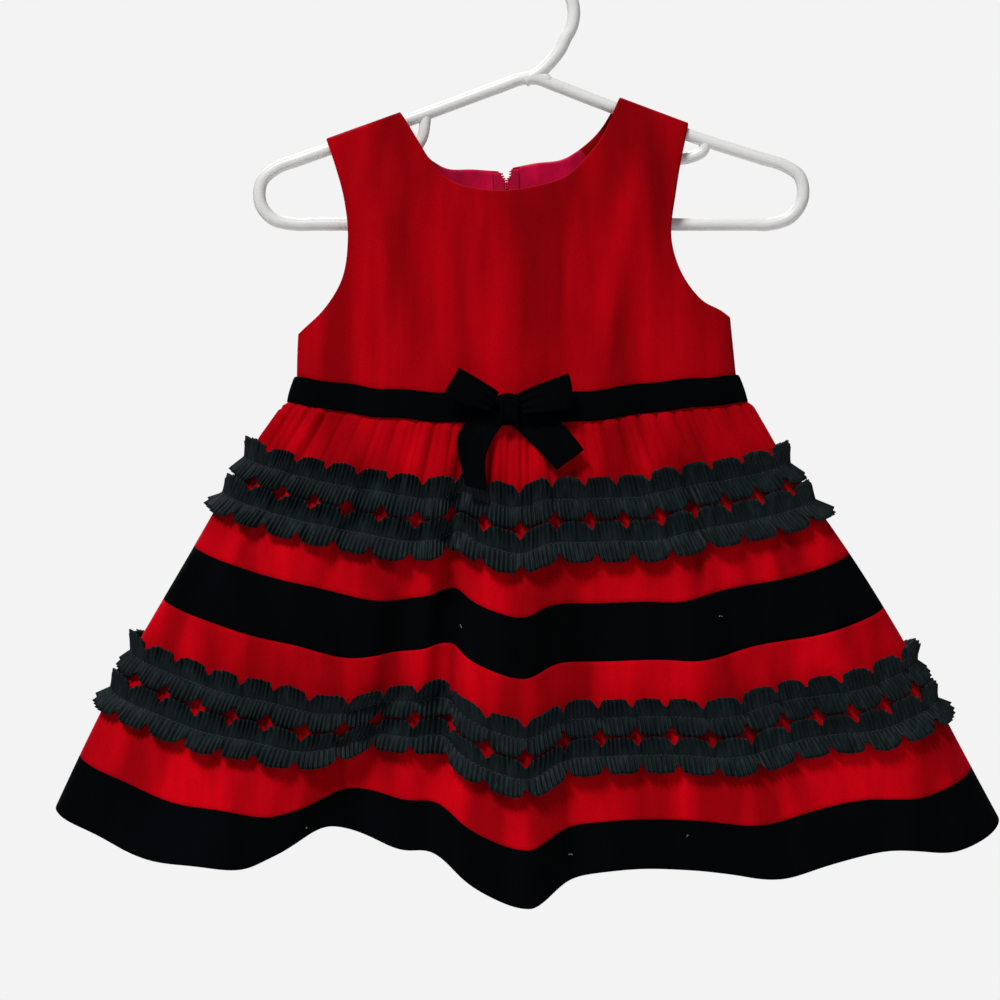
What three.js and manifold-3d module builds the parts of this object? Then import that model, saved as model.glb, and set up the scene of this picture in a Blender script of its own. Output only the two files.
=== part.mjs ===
// A toddler's sleeveless party dress on a child's hanger, in millimetres.
// X runs to the right as the front is seen, Y runs to the back and Z runs up.
// The origin is the highest point inside the hook, where a rod carries the hanger.
// Each piece of cloth is a wall: a grid of outer points, and the same points moved in by its thickness.

import * as THREE from "three";
import { mergeVertices } from "three/addons/utils/BufferGeometryUtils.js";
import Module from "manifold-3d";

const wasm = await Module();
wasm.setup();

// Cloth thicknesses and the gap left at each seam
const VELVET = 1.6;
const TAFFETA = 1.0;
const SATIN = 1.0;
const RIBBON = 1.2;
const SEAM_GAP = 0.3;
const HALF_GAP = SEAM_GAP / 2;

// The hanger: a bent tube with a hook, and a loop under each arm for straps
const TUBE_RADIUS = 3.4;
const LOOP_RADIUS = 3.0;
const TUBE_SIDES = 8;
const HOOK_RADIUS = 22.6;
const HOOK_CENTRE_Z = -(HOOK_RADIUS - TUBE_RADIUS);
const HOOK_END_ANGLE = 155.75;
const BAR_Z = -133.4;
const LEFT_ARM = [
  { x: 9, z: -55.5 },
  { x: -4, z: -54.6 },
  { x: -20, z: -60 },
  { x: -55, z: -72.9 },
  { x: -111, z: -93.2 },
  { x: -130, z: -100 },
];
const LEFT_END = [
  { x: -126, z: -98.6 },
  { x: -137.5, z: -102.8 },
  { x: -146, z: -110.5 },
  { x: -146.6, z: -122 },
  { x: -140, z: -130.5 },
  { x: -128, z: BAR_Z },
  { x: -118, z: BAR_Z },
];
const RIGHT_END = [
  { x: 118, z: BAR_Z },
  { x: 128, z: BAR_Z },
  { x: 139.5, z: -129.5 },
  { x: 146, z: -119.5 },
  { x: 144.6, z: -107.8 },
  { x: 136, z: -101.6 },
  { x: 124, z: -97.8 },
];
const RIGHT_ARM = [
  { x: 128, z: -99 },
  { x: 84, z: -85 },
  { x: 42, z: -69.6 },
  { x: 0, z: -53 },
];
const HOOK_STEM = [
  { x: -4, z: -56 },
  { x: 5, z: -50.5 },
  { x: 14.5, z: -40 },
];
const STRAP_LOOP = { inner: 57, outer: 94, innerZ: -73, outerZ: -87.5, bottomZ: -97 };

// The body of the dress: half widths, half depths and heights
const WAIST_HALF_WIDTH = 119;
const WAIST_CENTRE_X = -8;
const WAIST_SEAM_Z = -224;
const WAIST_DEPTH = 21;
const CHEST_HALF_WIDTH = 117;
const NECK_CENTRE_X = -15.5;
const SHOULDER_Z = -75;
const ROUNDNESS = 0.85;
const SEAM_TUCK_POWER = 10;

// How far the waist seam hangs below its ends: place across the front, and drop
const WAIST_SAG = [
  { across: 0, drop: 0 },
  { across: 0.18, drop: 6.5 },
  { across: 0.4, drop: 10 },
  { across: 0.5, drop: 10.6 },
  { across: 0.65, drop: 8.5 },
  { across: 0.8, drop: 3.5 },
  { across: 1, drop: -1 },
];

// The shoulder line over the hanger's arms
const SHOULDER_LINE = [
  { x: -135, z: -95 },
  { x: -110.7, z: -86.4 },
  { x: -71.3, z: -72.4 },
  { x: 47.5, z: -64.6 },
  { x: 84.2, z: -78.4 },
  { x: 115, z: -90 },
];

// The bodice from the shoulder seam down: the wrap over the hanger's arm, then the fullness of the chest
const BODICE_PROFILE = [
  { down: 0, wrap: 0, full: 0 },
  { down: 0.5, wrap: 2.2, full: 0 },
  { down: 1.9, wrap: 4.1, full: 0.1 },
  { down: 4, wrap: 5.2, full: 0.4 },
  { down: 8, wrap: 5.6, full: 1.4 },
  { down: 18, wrap: 5.6, full: 4.2 },
  { down: 34, wrap: 5.6, full: 8.2 },
  { down: 56, wrap: 5.4, full: 12 },
  { down: 84, wrap: 4.2, full: 15.4 },
  { down: 116, wrap: 2, full: 18.6 },
  { down: 160, wrap: 0, full: WAIST_DEPTH },
];
const BODICE_FIXED_DOWN = 56;
const BODICE_COLUMNS = 20;
const CUT_PAST = 160;
const CUT_ABOVE = -45;
const CUT_BELOW = -260;

// Soft upright ripples of the bodice front: place, width and depth
const BODICE_RIPPLES = [
  { x: -84, width: 9, out: 1.0 },
  { x: -52, width: 12, out: -1.0 },
  { x: -22, width: 12, out: 0.8 },
  { x: 14, width: 12, out: -1.1 },
  { x: 44, width: 11, out: 1.3 },
  { x: 66, width: 9, out: -1.2 },
];

// Edges of the bodice as seen from the front
const LEFT_ARMHOLE = [
  { x: -110.7, z: -87.2 },
  { x: -105, z: -104 },
  { x: -100.5, z: -121 },
  { x: -98.3, z: -141.8 },
  { x: -101.5, z: -164 },
  { x: -111.8, z: -180.5 },
  { x: -126, z: -193 },
];
const RIGHT_ARMHOLE = [
  { x: 84.2, z: -78.6 },
  { x: 80.2, z: -97 },
  { x: 76.8, z: -116 },
  { x: 74, z: -141.8 },
  { x: 79.9, z: -161.5 },
  { x: 91, z: -175.5 },
  { x: 110.5, z: -185.5 },
];
const FRONT_NECKLINE = [
  { x: -71.3, z: -73 },
  { x: -63, z: -87 },
  { x: -54, z: -101.5 },
  { x: -44, z: -111.5 },
  { x: -29, z: -116 },
  { x: -14, z: -116.9 },
  { x: 4, z: -114 },
  { x: 18.4, z: -109 },
  { x: 28, z: -100 },
  { x: 38, z: -87 },
  { x: 47.5, z: -65 },
];
const BACK_NECKLINE_LEFT = [
  { x: -71.3, z: -73 },
  { x: -63, z: -87 },
  { x: -55, z: -97.5 },
  { x: -46, z: -102.2 },
  { x: -32, z: -102.6 },
  { x: -18.4, z: -103.6 },
];
const BACK_NECKLINE_RIGHT = [
  { x: -10.2, z: -101.6 },
  { x: 2, z: -99.2 },
  { x: 16, z: -97.4 },
  { x: 26, z: -92 },
  { x: 37, z: -82 },
  { x: 47.5, z: -65 },
];

// The centre back opening: half its width from the neck down, left unzipped at the top
const ZIP_OPENING = [
  { z: -90, half: 4.2 },
  { z: -104, half: 4.1 },
  { z: -122, half: 3.2 },
  { z: -128, half: 0.6 },
  { z: -260, half: 0.6 },
];
const ZIP_TAPE_HALF_WIDTH = 7;
const ZIP_TAPE_TOP_Z = -104.6;
const ZIP_TAPE_TOP_EDGE = 2.6;
const ZIP_BELOW_WAIST = 24;
const LINING_DEPTH = 52;
const LINING_FROM_ZIP = 7.6;
const LINING_SIDE = 20;

// The skirt, from the waist seam to the hem
const HEM_HALF_WIDTH = 254;
const HEM_CENTRE_X = -2.3;
const SIDE_BULGE = 7;
const FRONT_HEM_DEPTH = 50;
const BACK_HEM_DEPTH = 44;
const HEM_SIDE_Z = -450;
const FRONT_HEM_SAG = 28;
const BACK_HEM_SAG = 12;
const SKIRT_LENGTH = 262;
const SIDE_RISE = 0.045;
const SIDE_TILT = 3;
const PANEL_COLUMNS = 54;
const WAIST_ROUND = 500;
const SEAM_TURN = 0.0003;

// Seam levels down the skirt, as a share of its length
const MID_BAND_TOP = 0.42;
const MID_BAND_BOTTOM = 0.546;
const HEM_BAND_TOP = 0.893;

// Folds of the skirt. Middle and hem are the crest's place between the side seams at those two levels,
// left and right are its widths either side, out is how far it stands out,
// dip is how far it lowers the middle of the skirt, lower how far it lowers the hem.
const FOLD_MIDDLE_LEVEL = 0.45;
const FOLD_HEM_LEVEL = 0.95;
const FRONT_FOLDS = [
  { middle: 0.15, hem: 0.11, left: 0.05, right: 0.05, out: 4, dip: 0, lower: 7 },
  { middle: 0.28, hem: 0.2, left: 0.06, right: 0.05, out: 9, dip: 3, lower: 6 },
  { middle: 0.37, hem: 0.305, left: 0.05, right: 0.08, out: -10, dip: 0, lower: -20 },
  { middle: 0.4, hem: 0.4, left: 0.025, right: 0.025, out: -6, dip: -6, lower: -7 },
  { middle: 0.5, hem: 0.5, left: 0.065, right: 0.032, out: 14, dip: 6.5, lower: 16 },
  { middle: 0.63, hem: 0.62, left: 0.05, right: 0.06, out: -6, dip: 1, lower: -2 },
  { middle: 0.735, hem: 0.755, left: 0.05, right: 0.045, out: 9, dip: 3, lower: 5 },
  { middle: 0.82, hem: 0.865, left: 0.04, right: 0.04, out: -4, dip: 0, lower: -2 },
  { middle: 0.9, hem: 0.95, left: 0.04, right: 0.05, out: 3, dip: 0, lower: 5 },
];
const BACK_FOLDS = [
  { middle: 0.2, hem: 0.15, left: 0.05, right: 0.05, out: 8, dip: 1, lower: 4 },
  { middle: 0.32, hem: 0.29, left: 0.05, right: 0.05, out: -9, dip: -4, lower: -10 },
  { middle: 0.43, hem: 0.42, left: 0.04, right: 0.055, out: 9, dip: 3, lower: 5 },
  { middle: 0.55, hem: 0.55, left: 0.05, right: 0.04, out: -6, dip: -1, lower: -4 },
  { middle: 0.66, hem: 0.68, left: 0.05, right: 0.05, out: 11, dip: 4, lower: 6 },
  { middle: 0.78, hem: 0.82, left: 0.05, right: 0.05, out: -7, dip: -1, lower: -4 },
];
const FOLD_GROWTH = 1.25;
const HEM_DROP_GROWTH = 3;

// Gathers under the waist seam: distance below it, and the share of their full height there
const GATHER_HEIGHT = 2.3;
const GATHERS = [
  { down: 0, share: 0 },
  { down: 8, share: 0 },
  { down: 13, share: 1 },
  { down: 24, share: 0.7 },
  { down: 42, share: 0.2 },
  { down: 60, share: 0 },
];
const UPPER_ROWS = [8, 13, 24, 42, 72];

// The waist ribbon and its bow
const WAIST_RIBBON_HALF = 7.8;
const WAIST_RIBBON_OFF = 0.45;
const RIBBON_END_GAP = 5;

// The pleated trims: two ribbons on each of two tiers, stitched down along their middles
const SCALLOP_DEPTH = 3.7;
const TRIM_CREASE_OFF = 0.8;
const TRIM_EDGE_OFF = 4.7;
const COLUMNS_PER_SCALLOP = 3;
const TRIMS = [
  { name: "trim_upper_top", level: 0.197, half: 12, scallops: 36 },
  { name: "trim_upper_bottom", level: 0.29, half: 12, scallops: 36 },
  { name: "trim_lower_top", level: 0.6695, half: 10.6, scallops: 48 },
  { name: "trim_lower_bottom", level: 0.7525, half: 10.6, scallops: 48 },
];

// The bow: its knot, its two loops and its two tails, on the front of the waist ribbon
const BOW_Y = -29.9;
const BOW_LOOP_DEPTH = 7;
const LOOP_COLUMNS = 14;
const KNOT = { x: -13, y: -29.9, z: -231.5, halfWidth: 4.6, halfDepth: 3.7, halfHeight: 8.6 };
const LEFT_LOOP = { root: { x: -20, z: -230 }, tip: { x: -43.5, z: -220 }, rootHalf: 5.2, tipHalf: 8.8 };
const RIGHT_LOOP = { root: { x: -6.6, z: -231 }, tip: { x: 21.5, z: -223.6 }, rootHalf: 5.2, tipHalf: 9 };
const LEFT_TAIL = [
  { x: -15.5, y: -25.3, z: -233, halfX: 5.5, halfZ: 3 },
  { x: -26, y: -26.4, z: -242.5, halfX: 7, halfZ: 5 },
  { x: -32.5, y: -29.6, z: -252.5, halfX: 8, halfZ: 1.5 },
  { x: -33, y: -34, z: -264, halfX: 7.6, halfZ: 0 },
  { x: -32.2, y: -35.6, z: -276, halfX: 7.4, halfZ: -1 },
];
const RIGHT_TAIL = [
  { x: -11, y: -25.3, z: -234, halfX: 5, halfZ: 5 },
  { x: 1, y: -25.9, z: -241, halfX: 5.5, halfZ: 6.5 },
  { x: 13, y: -29.4, z: -251, halfX: 5.2, halfZ: 6.6 },
  { x: 24.6, y: -31, z: -262, halfX: 4.8, halfZ: 7.6 },
];

// The zip's slider and pull. The pull turns about a line along X through the slider's ring.
const PULL_AXIS = { x: -13.6, y: 18.6, z: -113 };
const SLIDER = { halfHeight: 4.2, near: -4.1, far: -1.9, halfWidth: 2.4, ringOuter: 2.1, ringInner: 1.05, ringWidth: 1.5 };
const PULL = { barHalf: 0.4, topHalf: 2, endHalf: 2.3, length: 14, thickness: 0.7, windowHalf: 1.2, windowDepth: 3.2 };

const COLOURS = {
  red: 0xa5000c,
  black: 0x05070a,
  slate: 0x1c2a30,
  lining: 0xa00a38,
  plastic: 0xf0f0ee,
  zip: 0x8e1020,
};

function material(colour, roughness, metalness = 0) {
  return new THREE.MeshStandardMaterial({ color: colour, roughness, metalness });
}

const RED_VELVET = material(COLOURS.red, 0.85);
const BLACK_VELVET = material(COLOURS.black, 0.85);
const SLATE_TAFFETA = material(COLOURS.slate, 0.55);
const LINING_SATIN = material(COLOURS.lining, 0.45);
const HANGER_PLASTIC = material(COLOURS.plastic, 0.35);
const ZIP_PAINT = material(COLOURS.zip, 0.4);

// Looks up a value in a table of rows, straight between rows and level beyond its ends.
function lookUp(table, key, value, at) {
  if (at <= Math.min(table[0][key], table.at(-1)[key])) {
    return table[0][key] < table.at(-1)[key] ? table[0][value] : table.at(-1)[value];
  }
  for (let i = 1; i < table.length; i += 1) {
    const a = table[i - 1];
    const b = table[i];
    if ((at - a[key]) * (at - b[key]) <= 0) {
      return a[value] + ((b[value] - a[value]) * (at - a[key])) / (b[key] - a[key]);
    }
  }
  return table[0][key] > table.at(-1)[key] ? table[0][value] : table.at(-1)[value];
}

// A smooth line through a table's x and z.
function smoothOutline(points, steps) {
  const curve = new THREE.CatmullRomCurve3(
    points.map((p) => new THREE.Vector3(p.x, 0, p.z)),
    false,
    "centripetal",
  );
  return curve.getSpacedPoints(steps).map((p) => ({ x: p.x, z: p.z }));
}

// A fixed uneven value between -1 and 1 for each whole number.
function uneven(i) {
  const wave = Math.sin(i * 12.9898 + 4.1414) * 43758.5453;
  return 2 * (wave - Math.floor(wave)) - 1;
}

// The half section of the body: across is 0 at the left side seam and 1 at the right one.
function sectionAcross(angle) {
  const c = Math.cos(angle);
  return (1 - Math.sign(c) * Math.abs(c) ** ROUNDNESS) / 2;
}

function sectionDepth(angle) {
  return Math.abs(Math.sin(angle)) ** ROUNDNESS;
}

// Angles that split half the section into equal lengths, for a section of this depth to width.
const SECTION_RATIO = 0.2;
const SECTION_STEPS = 2000;

function evenAngles() {
  const lengths = [0];
  for (let i = 1; i <= SECTION_STEPS; i += 1) {
    const a = (Math.PI * (i - 1)) / SECTION_STEPS;
    const b = (Math.PI * i) / SECTION_STEPS;
    const dx = 2 * (sectionAcross(b) - sectionAcross(a));
    const dy = SECTION_RATIO * (sectionDepth(b) - sectionDepth(a));
    lengths.push(lengths[i - 1] + Math.hypot(dx, dy));
  }
  return lengths.map((length) => length / lengths[SECTION_STEPS]);
}

const EVEN = evenAngles();

function angleAt(share) {
  let low = 0;
  let high = SECTION_STEPS;
  while (high - low > 1) {
    const middle = (low + high) >> 1;
    if (EVEN[middle] <= share) low = middle;
    else high = middle;
  }
  const part = (share - EVEN[low]) / (EVEN[high] - EVEN[low]);
  return (Math.PI * (low + part)) / SECTION_STEPS;
}

// A place round the body: turn 0 is the left side seam, 0.5 the right one and 0.75 the centre back.
function placeRound(turn) {
  const t = turn - Math.floor(turn);
  const front = t < 0.5;
  const angle = angleAt(front ? 2 * t : 2 - 2 * t);
  return { across: sectionAcross(angle), depth: sectionDepth(angle), side: front ? -1 : 1 };
}

function waistSeamZ(across, side) {
  const sag = lookUp(WAIST_SAG, "across", "drop", across);
  return WAIST_SEAM_Z - (side < 0 ? sag : 0.5 * sag);
}

function foldTotal(folds, across, level, key) {
  let total = 0;
  for (const fold of folds) {
    const slide = (level - FOLD_MIDDLE_LEVEL) / (FOLD_HEM_LEVEL - FOLD_MIDDLE_LEVEL);
    const away = across - (fold.middle + (fold.hem - fold.middle) * slide);
    const width = away < 0 ? fold.left : fold.right;
    total += fold[key] * Math.exp(-((away / width) ** 2));
  }
  return total;
}

// A point of the skirt's outer face. Level is 0 at the waist seam and 1 at the hem.
function skirtPoint(turn, level) {
  const { across, depth, side } = placeRound(turn);
  const rise = SIDE_RISE * Math.abs(2 * across - 1) ** 3 * 4 * level * (1 - level);
  const v = level - rise;
  const folds = side < 0 ? FRONT_FOLDS : BACK_FOLDS;
  const hemDepth = side < 0 ? FRONT_HEM_DEPTH : BACK_HEM_DEPTH;
  const sag = side < 0 ? FRONT_HEM_SAG : BACK_HEM_SAG;
  const halfWidth = WAIST_HALF_WIDTH + (HEM_HALF_WIDTH - WAIST_HALF_WIDTH) * v + SIDE_BULGE * Math.sin(Math.PI * v);
  const halfDepth = WAIST_DEPTH + (hemDepth - WAIST_DEPTH) * v;
  const centre = WAIST_CENTRE_X + (HEM_CENTRE_X - WAIST_CENTRE_X) * v;
  const ends = Math.min(1, 1.6 * depth);
  const out = foldTotal(folds, across, v, "out") * v ** FOLD_GROWTH * ends;
  const dip = foldTotal(folds, across, v, "dip") * Math.max(0, Math.sin((Math.PI * v) / FOLD_HEM_LEVEL));
  const drop = (dip + foldTotal(folds, across, v, "lower") * v ** HEM_DROP_GROWTH) * ends;
  const tilt = SIDE_TILT * (2 * across - 1) * (1 - (1 - v) ** 4);
  const top = waistSeamZ(across, side);
  const hem = HEM_SIDE_Z - sag * Math.sin(Math.PI * across) ** 0.5;
  return new THREE.Vector3(
    centre + halfWidth * (2 * across - 1),
    side * (halfDepth * depth + out),
    top + (hem - top) * v - drop - tilt,
  );
}

function skirtNormal(turn, level) {
  const step = 0.002;
  const alongTurn = skirtPoint(turn + step, level).sub(skirtPoint(turn - step, level));
  const low = Math.max(0, level - step);
  const high = Math.min(1, level + step);
  const down = skirtPoint(turn, high).sub(skirtPoint(turn, low));
  return down.cross(alongTurn).normalize();
}

function skirtPointOff(turn, level, off) {
  return skirtPoint(turn, level).addScaledVector(skirtNormal(turn, level), off);
}

function bodiceCentreX(z) {
  const share = THREE.MathUtils.clamp((z - WAIST_SEAM_Z) / (SHOULDER_Z - WAIST_SEAM_Z), 0, 1);
  return WAIST_CENTRE_X + (NECK_CENTRE_X - WAIST_CENTRE_X) * share;
}

function bodiceHalfWidth(z) {
  const share = THREE.MathUtils.clamp((z - WAIST_SEAM_Z) / 40, 0, 1);
  return WAIST_HALF_WIDTH + (CHEST_HALF_WIDTH - WAIST_HALF_WIDTH) * share;
}

function ripple(x, side, down) {
  if (side > 0) return 0;
  const grow = THREE.MathUtils.clamp((down - 25) / 40, 0, 1) * THREE.MathUtils.clamp((150 - down) / 30, 0, 1);
  return BODICE_RIPPLES.reduce((sum, r) => sum + r.out * Math.exp(-(((x - r.x) / r.width) ** 2)), 0) * grow;
}

// A point of the bodice's outer face, from its place across the section and its height.
function bodicePoint(across, depth, side, z) {
  const x = bodiceCentreX(z) + bodiceHalfWidth(z) * (2 * across - 1);
  const down = lookUp(SHOULDER_LINE, "x", "z", x) - z;
  const tuck = Math.sqrt(Math.max(0, 1 - Math.abs(2 * across - 1) ** SEAM_TUCK_POWER));
  const wrap = lookUp(BODICE_PROFILE, "down", "wrap", down) * tuck;
  const full = lookUp(BODICE_PROFILE, "down", "full", down) * depth;
  return new THREE.Vector3(x, side * (wrap + full + ripple(x, side, down) * depth), z);
}

// The same point from x and z, for what lies along the bodice.
function bodiceAt(x, z, side) {
  const share = THREE.MathUtils.clamp((x - bodiceCentreX(z)) / bodiceHalfWidth(z), -1, 1);
  const depth = (1 - Math.abs(share) ** (2 / ROUNDNESS)) ** (ROUNDNESS / 2);
  return bodicePoint((share + 1) / 2, depth, side, z);
}

// Triangles of a closed wall from a grid of outer points and the matching inner ones.
function wallGeometry(outer, inner, round = false) {
  const columns = outer.length;
  const rows = outer[0].length;
  const points = [...outer.flat(), ...inner.flat()];
  const outerAt = (i, j) => (i % columns) * rows + j;
  const innerAt = (i, j) => columns * rows + (i % columns) * rows + j;
  const faces = [];
  const quad = (a, b, c, d) => faces.push(a, b, c, a, c, d);
  const last = round ? columns : columns - 1;
  for (let i = 0; i < last; i += 1) {
    for (let j = 0; j < rows - 1; j += 1) {
      quad(outerAt(i, j), outerAt(i, j + 1), outerAt(i + 1, j + 1), outerAt(i + 1, j));
      quad(innerAt(i, j), innerAt(i + 1, j), innerAt(i + 1, j + 1), innerAt(i, j + 1));
    }
    quad(outerAt(i, 0), outerAt(i + 1, 0), innerAt(i + 1, 0), innerAt(i, 0));
    quad(outerAt(i, rows - 1), innerAt(i, rows - 1), innerAt(i + 1, rows - 1), outerAt(i + 1, rows - 1));
  }
  if (!round) {
    for (let j = 0; j < rows - 1; j += 1) {
      quad(outerAt(0, j), innerAt(0, j), innerAt(0, j + 1), outerAt(0, j + 1));
      quad(outerAt(columns - 1, j), outerAt(columns - 1, j + 1), innerAt(columns - 1, j + 1), innerAt(columns - 1, j));
    }
  }
  return facingOut(points, faces);
}

// A geometry from points and faces, turned so that its faces point out.
function facingOut(points, faces) {
  let volume = 0;
  for (let i = 0; i < faces.length; i += 3) {
    const [a, b, c] = [points[faces[i]], points[faces[i + 1]], points[faces[i + 2]]];
    volume += a.dot(new THREE.Vector3().crossVectors(b, c));
  }
  if (volume < 0) faces.reverse();
  const geometry = new THREE.BufferGeometry();
  geometry.setAttribute("position", new THREE.Float32BufferAttribute(points.flatMap((p) => [p.x, p.y, p.z]), 3));
  geometry.setIndex(faces);
  geometry.computeVertexNormals();
  return geometry;
}

// The inner points of a grid, moved in along the grid's own normals.
function movedIn(grid, thickness) {
  const at = (i, j) =>
    grid[THREE.MathUtils.clamp(i, 0, grid.length - 1)][THREE.MathUtils.clamp(j, 0, grid[0].length - 1)];
  return grid.map((column, i) =>
    column.map((point, j) => {
      const along = new THREE.Vector3().subVectors(at(i + 1, j), at(i - 1, j));
      const down = new THREE.Vector3().subVectors(at(i, j + 1), at(i, j - 1));
      const normal = down.cross(along).normalize();
      return point.clone().addScaledVector(normal, -thickness);
    }),
  );
}

// Solids for joins and cuts.
function solidOf(geometry) {
  const bare = geometry.clone();
  for (const name of Object.keys(bare.attributes)) if (name !== "position") bare.deleteAttribute(name);
  const merged = mergeVertices(bare, 1e-4);
  return new wasm.Manifold(
    new wasm.Mesh({
      numProp: 3,
      vertProperties: new Float32Array(merged.attributes.position.array),
      triVerts: new Uint32Array(merged.index.array),
    }),
  );
}

function geometryOf(solid) {
  const mesh = solid.getMesh();
  const geometry = new THREE.BufferGeometry();
  geometry.setAttribute("position", new THREE.BufferAttribute(new Float32Array(mesh.vertProperties), 3));
  geometry.setIndex(new THREE.BufferAttribute(new Uint32Array(mesh.triVerts), 1));
  geometry.computeVertexNormals();
  return geometry;
}

// A block with this outline as seen from the front, from one depth to another.
function outlineBlock(outline, nearY, farY) {
  const shape = new THREE.Shape(outline.map((p) => new THREE.Vector2(p.x, p.z)));
  const block = new THREE.ExtrudeGeometry(shape, { depth: farY - nearY, bevelEnabled: false });
  block.rotateX(Math.PI / 2);
  block.translate(0, farY, 0);
  return block;
}

function tubeAlong(curve, radius, steps) {
  const ring = [];
  for (let i = 0; i < TUBE_SIDES; i += 1) {
    const angle = (2 * Math.PI * (i + 0.5)) / TUBE_SIDES;
    ring.push(new THREE.Vector2(radius * Math.cos(angle), radius * Math.sin(angle)));
  }
  return new THREE.ExtrudeGeometry(new THREE.Shape(ring), { steps, bevelEnabled: false, extrudePath: curve });
}

function pathOf(points) {
  return new THREE.CatmullRomCurve3(points.map((p) => new THREE.Vector3(p.x, p.y ?? 0, p.z)), false, "centripetal");
}

function hangerGeometry() {
  const hook = [...HOOK_STEM];
  for (let degrees = -36; degrees <= HOOK_END_ANGLE; degrees += 14.75) {
    const angle = THREE.MathUtils.degToRad(degrees);
    hook.push({ x: HOOK_RADIUS * Math.cos(angle), z: HOOK_CENTRE_Z + HOOK_RADIUS * Math.sin(angle) });
  }
  const bar = [LEFT_END.at(-2), RIGHT_END[1]];
  let solid = solidOf(tubeAlong(pathOf(hook), TUBE_RADIUS, 18));
  for (const [points, steps] of [[LEFT_ARM, 6], [LEFT_END, 8], [bar, 1], [RIGHT_END, 8], [RIGHT_ARM, 4]]) {
    solid = solid.add(solidOf(tubeAlong(pathOf(points), TUBE_RADIUS, steps)));
  }
  for (const side of [-1, 1]) {
    const { inner, outer, innerZ, outerZ, bottomZ } = STRAP_LOOP;
    const loop = pathOf([
      { x: side * inner, z: innerZ },
      { x: side * (inner + 3), z: bottomZ + 9 },
      { x: side * (inner + 12), z: bottomZ },
      { x: side * (outer - 12), z: bottomZ - 1 },
      { x: side * (outer - 2), z: bottomZ + 3 },
      { x: side * outer, z: outerZ },
    ]);
    solid = solid.add(solidOf(tubeAlong(loop, LOOP_RADIUS, 7)));
  }
  return geometryOf(solid);
}

// A grid of the bodice's outer face, from one side seam to the other, past all its cut edges.
function bodiceGrid(side) {
  const length = BODICE_PROFILE.at(-1).down;
  const grid = [];
  for (let i = 0; i <= BODICE_COLUMNS; i += 1) {
    const angle = angleAt(i / BODICE_COLUMNS);
    const across = sectionAcross(angle);
    const depth = sectionDepth(angle);
    const x = bodiceCentreX(SHOULDER_Z) + CHEST_HALF_WIDTH * (2 * across - 1);
    const top = lookUp(SHOULDER_LINE, "x", "z", x);
    const height = top - waistSeamZ(across, side) - HALF_GAP;
    const stretch = (height - BODICE_FIXED_DOWN) / (length - BODICE_FIXED_DOWN);
    grid.push(
      BODICE_PROFILE.map(({ down }) => {
        const below = down - BODICE_FIXED_DOWN;
        return bodicePoint(across, depth, side, top - (below < 0 ? down : BODICE_FIXED_DOWN + below * stretch));
      }),
    );
  }
  return side < 0 ? grid : grid.reverse();
}

function armholeOutline(points) {
  return smoothOutline(points, 12);
}

// One bodice panel: the wall of its side of the body, cut to the panel's outline.
function bodicePanel(side, outline, insetBy = 0, thickness = VELVET) {
  const grid = bodiceGrid(side);
  const outer = insetBy > 0 ? movedIn(grid, insetBy) : grid;
  const wall = solidOf(wallGeometry(outer, movedIn(grid, insetBy + thickness)));
  const [near, far] = side < 0 ? [-60, -HALF_GAP] : [HALF_GAP, 60];
  return geometryOf(wall.intersect(solidOf(outlineBlock(outline, near, far))));
}

function bodiceFrontGeometry() {
  return bodicePanel(-1, [
    { x: -CUT_PAST, z: CUT_BELOW },
    { x: -CUT_PAST, z: LEFT_ARMHOLE.at(-1).z },
    ...armholeOutline(LEFT_ARMHOLE).reverse(),
    { x: LEFT_ARMHOLE[0].x, z: CUT_ABOVE },
    { x: FRONT_NECKLINE[0].x, z: CUT_ABOVE },
    ...smoothOutline(FRONT_NECKLINE, 22),
    { x: FRONT_NECKLINE.at(-1).x, z: CUT_ABOVE },
    { x: RIGHT_ARMHOLE[0].x, z: CUT_ABOVE },
    ...armholeOutline(RIGHT_ARMHOLE),
    { x: CUT_PAST, z: RIGHT_ARMHOLE.at(-1).z },
    { x: CUT_PAST, z: CUT_BELOW },
  ]);
}

// The edge of a back panel along the zip, from the neck down.
function zipEdge(hand) {
  return ZIP_OPENING.slice(1).map(({ z, half }) => ({ x: bodiceCentreX(z) + hand * half, z }));
}

function bodiceBackGeometry(hand) {
  const armhole = hand < 0 ? LEFT_ARMHOLE : RIGHT_ARMHOLE;
  const neckline = hand < 0 ? BACK_NECKLINE_LEFT : BACK_NECKLINE_RIGHT.toReversed();
  return bodicePanel(1, [
    { x: hand * CUT_PAST, z: CUT_BELOW },
    { x: hand * CUT_PAST, z: armhole.at(-1).z },
    ...armholeOutline(armhole).reverse(),
    { x: armhole[0].x, z: CUT_ABOVE },
    { x: neckline[0].x, z: CUT_ABOVE },
    ...smoothOutline(neckline, 12),
    ...zipEdge(hand),
  ]);
}

// The lining inside a back panel, from the neck edge down, as far as it shows.
function neckLiningGeometry(hand) {
  const neckline = (hand < 0 ? BACK_NECKLINE_LEFT : BACK_NECKLINE_RIGHT.toReversed()).slice(2);
  const bottom = neckline.at(-1).z - LINING_DEPTH;
  const innerX = (z) => bodiceCentreX(z) + hand * LINING_FROM_ZIP;
  const edge = smoothOutline(neckline, 10).filter((p) => hand * (p.x - innerX(p.z)) > 1);
  return bodicePanel(
    1,
    [
      ...edge,
      { x: innerX(edge.at(-1).z), z: edge.at(-1).z - 0.5 },
      { x: innerX(bottom), z: bottom },
      { x: neckline[0].x + hand * LINING_SIDE, z: bottom },
      { x: neckline[0].x + hand * LINING_SIDE, z: neckline[0].z - LINING_SIDE },
    ],
    VELVET + SEAM_GAP,
    SATIN,
  );
}

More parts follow.
